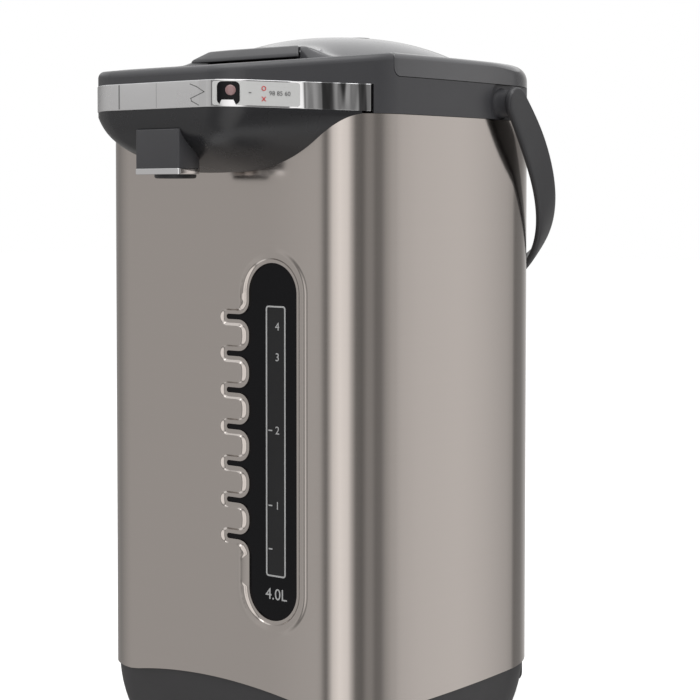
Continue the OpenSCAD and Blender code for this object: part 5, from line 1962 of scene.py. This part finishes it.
@dataclass
class Lid:
    """The domed lid with its lever and the steam vent."""

    plans: Plans = PLANS
    dome_h: float = 15.0
    dome_r: float = 66.0
    dome_y: float = 5.0
    dome_power: float = 2.4
    dome_fade: float = 13.0
    foot_soft: float = 0.2
    back_round: float = 4.4
    back_from: float = 15.0
    cheek_h: float = 6.6
    cheek_w: float = 26.0
    cheek_y: Pair = (-60.5, -55.0)
    pocket_y: float = -48.3
    side_clear: float = 0.65
    step: float = 0.02
    side_wall: float = 2.4
    seam_r: float = 4.0
    lug: Pair = (22.0, 30.0)
    lever_front: float = -66.3
    lever_back: float = -51.0
    lever_half: Pair = (34.6, 22.5)
    lever_lean: float = 0.12
    lever_bevel: float = 0.7
    vent_y: float = 20.0
    vent_r: float = 7.0
    vent_h: float = 0.9
    vent_slots: Size3 = (-2.4, 0.0, 2.4)

    def lever_end(self, y: Array | float) -> Array | float:
        """Half width of the lever at y: it narrows towards its back."""
        return np.interp(y, (self.lever_front, self.lever_back), self.lever_half)

    def rise(self, x: Array, y: Array) -> Array:
        """Rise over the flat rim: a dome that falls away as a power of the reach, and a cheek at each lever
        end. They join as the fourth root of their fourth powers, and a hyperbola softens the foot.

        Args:
            x: Places across.
            y: Places along.

        Returns:
            Heights above the rim.
        """
        reach = np.minimum(np.hypot(x, y - self.dome_y) / self.dome_r, 1)
        dome = self.dome_h * (1 - reach**self.dome_power)
        dome = dome * smoothstep(0, self.dome_fade, self.plans.lid_back - y)
        beside = np.abs(x) - self.lever_end(np.minimum(y, self.pocket_y))
        cheek = self.cheek_h * (1 - smoothstep(0, self.cheek_w, beside)) * smoothstep(*self.cheek_y, y)
        cheek = cheek * (1 - smoothstep(self.pocket_y - 1, self.pocket_y + self.cheek_w, y))
        both = (dome**4 + cheek**4) ** 0.25
        return np.sqrt(both * both + self.foot_soft) - math.sqrt(self.foot_soft)

    def side_round(self, y: Array) -> Array:
        """Radius of the lid's side edges at y: it grows towards the back."""
        return self.plans.edge_r + self.back_round * smoothstep(self.back_from, self.plans.lid_back, y)

    @staticmethod
    def edge_drop(reach: Array, r: Array | float) -> Array:
        """Fall of an edge rounded with radius r, at a distance from the edge."""
        into = np.clip(r - reach, 0, r)
        return r - np.sqrt(np.maximum(r * r - into * into, 0))

    def build(self) -> None:
        """Makes all pieces."""
        self.build_cover()
        self.build_lever()
        self.build_vent()

    def top_grid(self) -> Array:
        """The lid's top: dome, rounded edges and the lever's pocket, whose walls are a step wide.

        Returns:
            Rows across the lid, from its front to its back.
        """
        p, steps, step = self.plans, 1 - np.cos(quarter(9)), self.step
        front, back, pocket = -p.lid_front, p.lid_back, self.pocket_y
        y = np.concatenate([front + p.edge_r * steps, np.linspace(front + p.edge_r + 0.8, pocket - step, 8),
                            np.linspace(pocket + step, back, 60)])
        half, r = p.half_width(y)[:, None], self.side_round(y)[:, None]
        inner = self.lever_end(np.minimum(y, pocket))[:, None] + self.side_clear
        middle = np.linspace(-1, 1, 34) * (inner - step)
        side = inner + step + (half - r - inner - step) * np.linspace(0, 1, 26)
        right = np.concatenate([side, half - r * steps[::-1][1:]], 1)
        x = np.concatenate([-right[:, ::-1], middle, right], 1)
        y = np.broadcast_to(y[:, None], x.shape)
        fall = np.maximum(self.edge_drop(half - np.abs(x), r), self.edge_drop(y - front, p.edge_r))
        z = p.lid_top - fall + self.rise(x, y) * smoothstep(0, 3, half - r * 0.6 - np.abs(x))
        in_pocket = (np.abs(x) < inner) & (y < pocket)
        z = np.where(in_pocket, np.minimum(z, p.lid_top - p.gap), z)
        return np.stack([x, y, z], -1)

    def build_cover(self) -> None:
        """The lid's cover: its top, its side walls with a round lower front corner, and its rear bead."""
        p = self.plans
        top = self.top_grid()
        x, y, z = top[:, -1].T
        low = p.seam_z + round_corner(y + p.lid_front, self.seam_r)
        height = low + (z - low) * np.linspace(0, 1, 5)[:, None]
        side = np.stack([*(np.broadcast_to(place, height.shape) for place in (x, y)), height], -1)
        front = top[0]
        face = np.stack([front, at_height(front[:, :2], p.seam_z + self.seam_r),
                         at_height(front[:, :2] * [0.985, 1], p.seam_z + p.gap)])
        under = np.stack([side[0], side[0] - [self.side_wall, 0, 0]])
        surface = grid(top) + grid(side).both() + grid(face) + grid(under).both() + self.bead()
        make(surface, Piece("lid_dome", Body.LID, Slot.LID, LID, ("lid_cover",), sharp=32))

    def rear_profile(self, out: bool) -> Array:
        """The lid's rear face in section: a round bead on the hinge's axis, or a hollow where a lug sits.

        Args:
            out: Whether it is the bead.

        Returns:
            Y and Z from top to bottom, n by 2.
        """
        p = self.plans
        turn = np.radians(np.linspace(90, -90, 19))
        across, up = (p.bead_r, p.bead_r) if out else (-p.bead_room, p.bead_room)
        curve = np.column_stack([p.lid_back + across * np.cos(turn), p.hinge_z + up * np.sin(turn)])
        return np.vstack([[(p.lid_back, p.lid_top)], curve, [(p.lid_back, p.seam_z + p.gap)]])

    def bead(self) -> Surface:
        """The lid's rear face, with its bead in three stretches and a hollow for each lug.

        Returns:
            The surface.
        """
        full, deep = self.rear_profile(True), self.rear_profile(False)
        low, high = self.lug[0] - self.plans.gap, self.lug[1] + self.plans.gap
        tip = self.rear_end(full)
        side = self.rear_span(deep, low, high) + self.rear_span(full, high, tip)
        for x in (low, high):
            side += grid(np.stack([np.insert(full, 0, x, 1), np.insert(deep, 0, x, 1)]))
        level = np.column_stack([np.full(len(full), self.plans.lid_back), full[:, 1]])
        flat = np.column_stack([self.rear_end(level), level])
        side += grid(np.stack([np.column_stack([tip, full]), flat]))
        return self.rear_span(full, -low, low) + side.both()

    def rear_end(self, profile: Array) -> Array:
        """Half width of the lid's rear face at each (y, z), drawn in round its side edge."""
        p, r = self.plans, self.plans.edge_r + self.back_round
        return p.half_width(profile[:, 0], 0.1) - self.edge_drop(p.lid_top - profile[:, 1], r)

    def rear_span(self, profile: Array, start: Array | float, end: Array | float) -> Surface:
        """The rear face's profile carried across.

        Args:
            profile: Y and Z, n by 2.
            start: Where it starts, at once or for each of its points.
            end: Where it ends.

        Returns:
            The surface.
        """
        start, end = (np.broadcast_to(x, len(profile))[:, None] for x in (start, end))
        x = start + (end - start) * np.linspace(0, 1, 7)
        return grid(np.stack([x, *(np.broadcast_to(profile[:, k:k + 1], x.shape) for k in (0, 1))], -1))

    def build_lever(self) -> None:
        """The lever: a wide block with a thin nose and a tall back, narrower at its back, softly edged."""
        low, front, back = self.plans.lid_top, self.lever_front, self.lever_back
        section = np.array([(front, 0), (back - 3.5, 0), (back, 2.4), (back, 6.9), (front + 6.8, 5.7),
                            (front + 0.8, 1.7)])
        half = self.lever_end(section[:, 0]) - self.lever_lean * section[:, 1]
        count = len(section)
        places = np.linspace(-1, 1, 9)
        rings = np.stack([np.insert(section + (0, low), 0, share * half, 1) for share in places])
        body = grid(rings, wrap=True)
        ends = [np.arange(count)[None, :], np.arange(len(body.points) - count, len(body.points))[None, ::-1]]
        make(Surface(body.points, [*body.faces, *ends]),
             Piece("lever_block", Body.LEVER, Slot.BASE, LEVER, ("lid_lever",),
                   bevel=self.lever_bevel, sharp=32))

    def build_vent(self) -> None:
        """The steam vent: a turned button with a raised rim and three slots sunk between ribs."""
        r, top = self.vent_r, self.plans.lid_top + self.dome_h + self.vent_h
        profile = np.array([(0, -1.4), (r - 2.6, -1.4), (r - 2.3, -0.2), (r - 1.9, 0), (r - 0.6, -0.05),
                            (r - 0.1, -0.5), (r, -1.1), (r, -4.0), (0, -4.0)])
        shape = lathe(profile[::-1], (0, self.vent_y, top), count=48)
        for x in self.vent_slots:
            half = math.sqrt((r - 2.4) ** 2 - x * x)
            bar = rounded_box((0.5, half), 0.3, 3) + (x, self.vent_y)
            shape += block(bar, round_profile(top - 1.6, top - 0.25, 0.05, 0.25, 3))
        make(shape, Piece("vent_button", Body.LID, Slot.BASE, LEVER, ("steam_vent",), sharp=35))


# ---- Handle ------------------------------------------------------------------


@dataclass
class Handle:
    """The bail handle: a strap bent round a superellipse from one pivot to the other."""

    pivot: Pair = (25.5, 309.8)
    half: float = 95.0
    reach: float = 120.0
    strap_w: float = 18.5
    strap_t: float = 3.6
    strap_power: float = 0.42
    crown: float = 0.15
    end_r: float = 7.6
    taper: float = 34.0
    power: float = 2.4
    hang: float = 50.0
    pin_r: float = 3.95
    pin_x: Pair = (80.5, 92.5)
    pin_bevel: float = 0.4

    def centre_line(self) -> tuple[Array, Array]:
        """The strap's middle line in its own plane, and the outward direction along it.

        Returns:
            Points and directions, n by 2 each, evenly spaced.
        """
        angle = np.linspace(0, np.pi, 4001)
        half, reach = (size - self.strap_t / 2 - self.crown for size in (self.half, self.reach))
        x = half * np.sign(np.cos(angle)) * np.abs(np.cos(angle)) ** (2 / self.power)
        u = reach * np.abs(np.sin(angle)) ** (2 / self.power)
        start = np.column_stack([np.full(20, half), np.linspace(-self.end_r, 0, 21)[:-1]])
        line = np.vstack([start, np.column_stack([x, u]), start[::-1] * [-1, 1]])
        run = np.concatenate([[0], np.cumsum(np.linalg.norm(np.diff(line, axis=0), axis=1))])
        ends = 0.5 * (1 - np.cos(np.linspace(0, np.pi, 12))) * self.end_r
        middle = np.linspace(self.end_r, run[-1] - self.end_r, 150)
        even = np.concatenate([ends[:-1], middle, run[-1] - ends[::-1][1:]])
        points = np.stack([np.interp(even, run, line[:, k]) for k in (0, 1)], 1)
        tangent = np.gradient(points, even, axis=0)
        normal = np.column_stack([tangent[:, 1], -tangent[:, 0]])
        return points, normal / np.linalg.norm(normal, axis=1, keepdims=True)

    def breadth(self, u: Array) -> Array:
        """Half breadth of the strap, with round ends: it grows as a sine from the end's radius.

        Args:
            u: Distances from the pivots' line.

        Returns:
            Array of half breadths.
        """
        grown = np.sin(np.clip(u / self.taper, 0, 1) * np.pi / 2)
        wide = self.end_r + (self.strap_w / 2 - self.end_r) * grown
        eye = np.sqrt(np.maximum(self.end_r**2 - np.minimum(u, 0) ** 2, 0.01))
        return np.where(u < 0, eye, wide)

    def build(self) -> None:
        """Makes the strap, a superellipse with crowned faces carried along the line, and its pins."""
        points, normal = self.centre_line()
        half_b = self.breadth(points[:, 1])[:, None]
        angle = np.linspace(0, 2 * np.pi, 36, endpoint=False)
        waves = (np.cos(angle), np.sin(angle))
        across, along = (np.sign(wave) * np.abs(wave) ** self.strap_power for wave in waves)
        thick = across * np.minimum(self.strap_t / 2, half_b * 0.9)
        broad = along * half_b
        thick = thick + np.sign(thick) * self.crown * (1 - (broad / half_b) ** 2)
        flat = points[:, None] + thick[..., None] * normal[:, None]
        strap = capped(np.concatenate([flat, broad[..., None]], -1))
        r, (start, end), bevel = self.pin_r, self.pin_x, self.pin_bevel
        pin = np.array([(0, start), (r - bevel, start), (r, start + bevel), (r, end), (0, end)])
        shape = strap + lathe(pin, (0, 0, 0), axis="x", count=40).both()
        shape = shape.moved((0, *self.pivot)).turned(-self.hang, self.pivot)
        make(shape, Piece("bail_strap", Body.BAIL, Slot.HANDLE, HANDLE, ("handle",), sharp=38))


# ---- Inner parts -------------------------------------------------------------


class InnerParts:
    """The CAD nodes that keep their own shape, each with its finish."""

    FINISHES: dict[Finish, tuple[str, ...]] = {
        LINER: ("inner_tank", "valve_ball"),
        ZINC: ("bottom_screws", "tank_support", "swivel_clip", "pump_motor", "rear_cover_screws",
               "lid_hinge_pin", "lever_pin", "lever_spring"),
        BRASS: ("inlet_pins",),
        ALUMINIUM: ("heater_plate", "heater_element"),
        SILICONE: ("tank_seal", "suction_hose", "delivery_hose", "outlet_hose", "key_mat", "lid_gasket"),
        WHITE: ("pump_housing", "gauge_lower_fitting", "gauge_upper_fitting", "valve_body", "spout_tube",
                "lid_lining", "latch_tongue"),
        BLUE: ("pump_impeller",),
        BLACK: ("bottom_cover",),
        BOARD: ("control_board", "power_board"),
        CERAMIC: ("thermostats", "thermal_fuse"),
        CLEAR: ("gauge_tube",),
    }

    def build(self) -> None:
        """Gives every kept node its finish."""
        for finish, names in self.FINISHES.items():
            for name in names:
                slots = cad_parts[name].data.materials
                slots.clear()
                slots.append(material(finish))
                log.info("%s: kept, %s", name, finish.name)


# ---- Stage -------------------------------------------------------------------


@dataclass
class Stage:
    """Floor, lamps, a ring of cards for mirrors, and camera. Lengths are metres here.

    Each of the tones is a bearing from the pot in degrees and the cards' brightness there.
    """

    azimuth: float = 39.695
    distance: float = 0.9088
    aside: float = -0.00294
    eye_height: float = 0.2653
    pitch: float = 2.193
    lens: float = 93.27
    shift: Pair = (0.034, -0.12)
    floor_half: float = 6.0
    ring_r: float = 0.3
    ring_z: Pair = (-0.3, 0.4)
    ring_strength: float = 1.25
    ring_count: int = 180
    warmth: Size3 = (1.0, 0.985, 0.97)
    world: Pair = (0.5, 1.0)
    floor_tone: float = 0.6
    floor_glow: float = 0.72
    aim_z: float = 0.18
    lamps: tuple[tuple[str, Size3, Pair, float], ...] = (
        ("top", (0.1, -0.3, 2.2), (1.8, 1.8), 20.0),
        ("key", (1.9, -0.9, 1.2), (1.0, 1.6), 16.0),
        ("fill", (-1.6, -1.7, 1.0), (1.2, 1.6), 12.0))
    tones: Pairs = (
        (-180, 0.3), (-165, 0.3), (-150, 0.42), (-138, 0.5), (-112, 0.5), (-104, 0.57), (-96, 0.5),
        (-91, 0.32), (-86, 0.2), (-81, 0.5), (-76, 0.95), (-66, 1.2), (-55, 1.05), (-50, 0.6), (-45, 0.22),
        (-37, 0.18), (-30, 0.34), (-24, 0.34), (-18, 0.22), (-10, 0.24), (-2, 0.42), (10, 0.56), (22, 0.6),
        (29, 0.76), (40, 0.81), (46, 0.72), (51, 0.58), (57, 0.22), (72, 0.26), (95, 0.6), (145, 0.6),
        (170, 0.32))

    def build(self) -> None:
        """Sets the scene round the pot."""
        self.build_world()
        self.build_floor()
        self.build_ring()
        for name, spot, size, watts in self.lamps:
            self.build_lamp(name, spot, size, watts)
        self.build_camera()

    @staticmethod
    def seen(tree: bpy.types.NodeTree, low: float, high: float) -> Socket:
        """A strength that is high for camera, glossy and transmission rays, and low for the rest.

        Args:
            tree: The node tree to add to.
            low: Strength that lights matt surfaces.
            high: Strength that is seen, mirrored or seen through glass.

        Returns:
            The strength's socket.
        """
        path = tree.nodes.new("ShaderNodeLightPath")
        total = path.outputs["Is Camera Ray"]
        for name in ("Is Glossy Ray", "Is Transmission Ray"):
            either = tree.nodes.new("ShaderNodeMath")
            either.operation = "MAXIMUM"
            tree.links.new(total, either.inputs[0])
            tree.links.new(path.outputs[name], either.inputs[1])
            total = either.outputs[0]
        mix = tree.nodes.new("ShaderNodeMix")
        mix.data_type = "FLOAT"
        mix.inputs["A"].default_value = low
        mix.inputs["B"].default_value = high
        tree.links.new(total, mix.inputs["Factor"])
        return mix.outputs["Result"]

    def build_world(self) -> None:
        """A white surround for the camera, for mirrors and glass, and a dimmer one for matt surfaces."""
        world = bpy.data.worlds.new("studio")
        bpy.context.scene.world = world
        world.use_nodes = True
        tree = world.node_tree
        tree.nodes.clear()
        light = tree.nodes.new("ShaderNodeBackground")
        light.inputs["Color"].default_value = (1, 1, 1, 1)
        tree.links.new(self.seen(tree, *self.world), light.inputs["Strength"])
        output = tree.nodes.new("ShaderNodeOutputWorld")
        tree.links.new(light.outputs[0], output.inputs["Surface"])

    def build_floor(self) -> None:
        """A white floor: its own light makes it white where it is seen, and its colour keeps the shadow."""
        h = self.floor_half
        mesh = bpy.data.meshes.new("floor")
        mesh.from_pydata([(-h, -h, 0), (h, -h, 0), (h, h, 0), (-h, h, 0)], [], [(0, 1, 2, 3)])
        floor = placed("floor", mesh)
        nodes = Nodes("floor_white")
        shader = nodes.shader.inputs
        shader["Base Color"].default_value = (self.floor_tone, self.floor_tone, self.floor_tone, 1)
        shader["Roughness"].default_value = 0.9
        shader["Specular IOR Level"].default_value = 0.0
        shader["Emission Color"].default_value = (1, 1, 1, 1)
        nodes.link(self.seen(nodes.tree, 0.0, self.floor_glow), shader["Emission Strength"])
        mesh.materials.append(nodes.material)
        floor.visible_glossy = False

    def build_lamp(self, name: str, spot: Sequence[float], size: Sequence[float], watts: float) -> None:
        """An area lamp that faces the pot's middle. Only the top one is mirrored.

        Args:
            name: The lamp's name.
            spot: Its place in metres.
            size: Its width and height in metres.
            watts: Its power.
        """
        data = bpy.data.lights.new(name, "AREA")
        data.shape = "RECTANGLE"
        data.size, data.size_y = size
        data.energy = watts
        lamp = placed(name, data)
        lamp.location = spot
        lamp.rotation_euler = (Vector((0, 0, self.aim_z)) - Vector(spot)).to_track_quat("-Z", "Y").to_euler()
        lamp.visible_glossy = name == "top"

    def build_ring(self) -> None:
        """A ring of soft cards that only mirrors see: its tone changes with the bearing from the pot."""
        angle = np.linspace(0, 2 * np.pi, self.ring_count, endpoint=False)
        ring = np.column_stack([np.cos(angle), np.sin(angle)]) * self.ring_r
        surface = grid(np.stack([at_height(ring, z) for z in self.ring_z]), wrap=True)
        mesh = bpy.data.meshes.new("card_ring")
        mesh.from_pydata(surface.points.tolist(), [], surface.faces[0].tolist())
        cards = placed("card_ring", mesh)
        nodes = Nodes("card_tones")
        around = nodes.add("ShaderNodeTexGradient", gradient_type="RADIAL")
        nodes.link(nodes.place(), around.inputs["Vector"])
        ramp = nodes.add("ShaderNodeValToRGB")
        stops = ramp.color_ramp.elements
        while len(stops) < len(self.tones):
            stops.new(0.5)
        for stop, (bearing, tone) in zip(stops, self.tones):
            stop.position = (bearing + 180) / 360
            stop.color = (*(tone * share / self.ring_strength for share in self.warmth), 1)
        nodes.link(around.outputs["Fac"], ramp.inputs["Fac"])
        shader = nodes.shader.inputs
        shader["Base Color"].default_value = (0, 0, 0, 1)
        shader["Specular IOR Level"].default_value = 0.0
        nodes.link(ramp.outputs["Color"], shader["Emission Color"])
        shader["Emission Strength"].default_value = self.ring_strength
        mesh.materials.append(nodes.material)
        cards.visible_camera = False
        cards.visible_diffuse = False
        cards.visible_shadow = False
        cards.visible_transmission = False

    def build_camera(self) -> None:
        """The camera at the viewing angle: it looks a little down, with its frame shifted down."""
        data = bpy.data.cameras.new("camera")
        data.lens = self.lens
        data.sensor_width = 36
        data.shift_x, data.shift_y = self.shift
        a = math.radians(self.azimuth)
        camera = placed("camera", data)
        camera.location = (self.distance * math.sin(a) + self.aside * math.cos(a),
                           self.aside * math.sin(a) - self.distance * math.cos(a), self.eye_height)
        camera.rotation_euler = (math.radians(90 - self.pitch), 0, a)
        bpy.context.scene.camera = camera


def main() -> None:
    """Builds every sub-assembly in order."""
    logging.basicConfig(level=logging.INFO, format="%(name)s %(message)s")
    bpy.context.scene.view_settings.view_transform = "Standard"
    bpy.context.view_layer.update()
    gauge = LevelGauge()
    gauge.build()
    SteelBody(gauge).build()
    Base().build()
    Head().build()
    Lid().build()
    Handle().build()
    InnerParts().build()
    Stage().build()


if __name__ == "__main__":
    main()
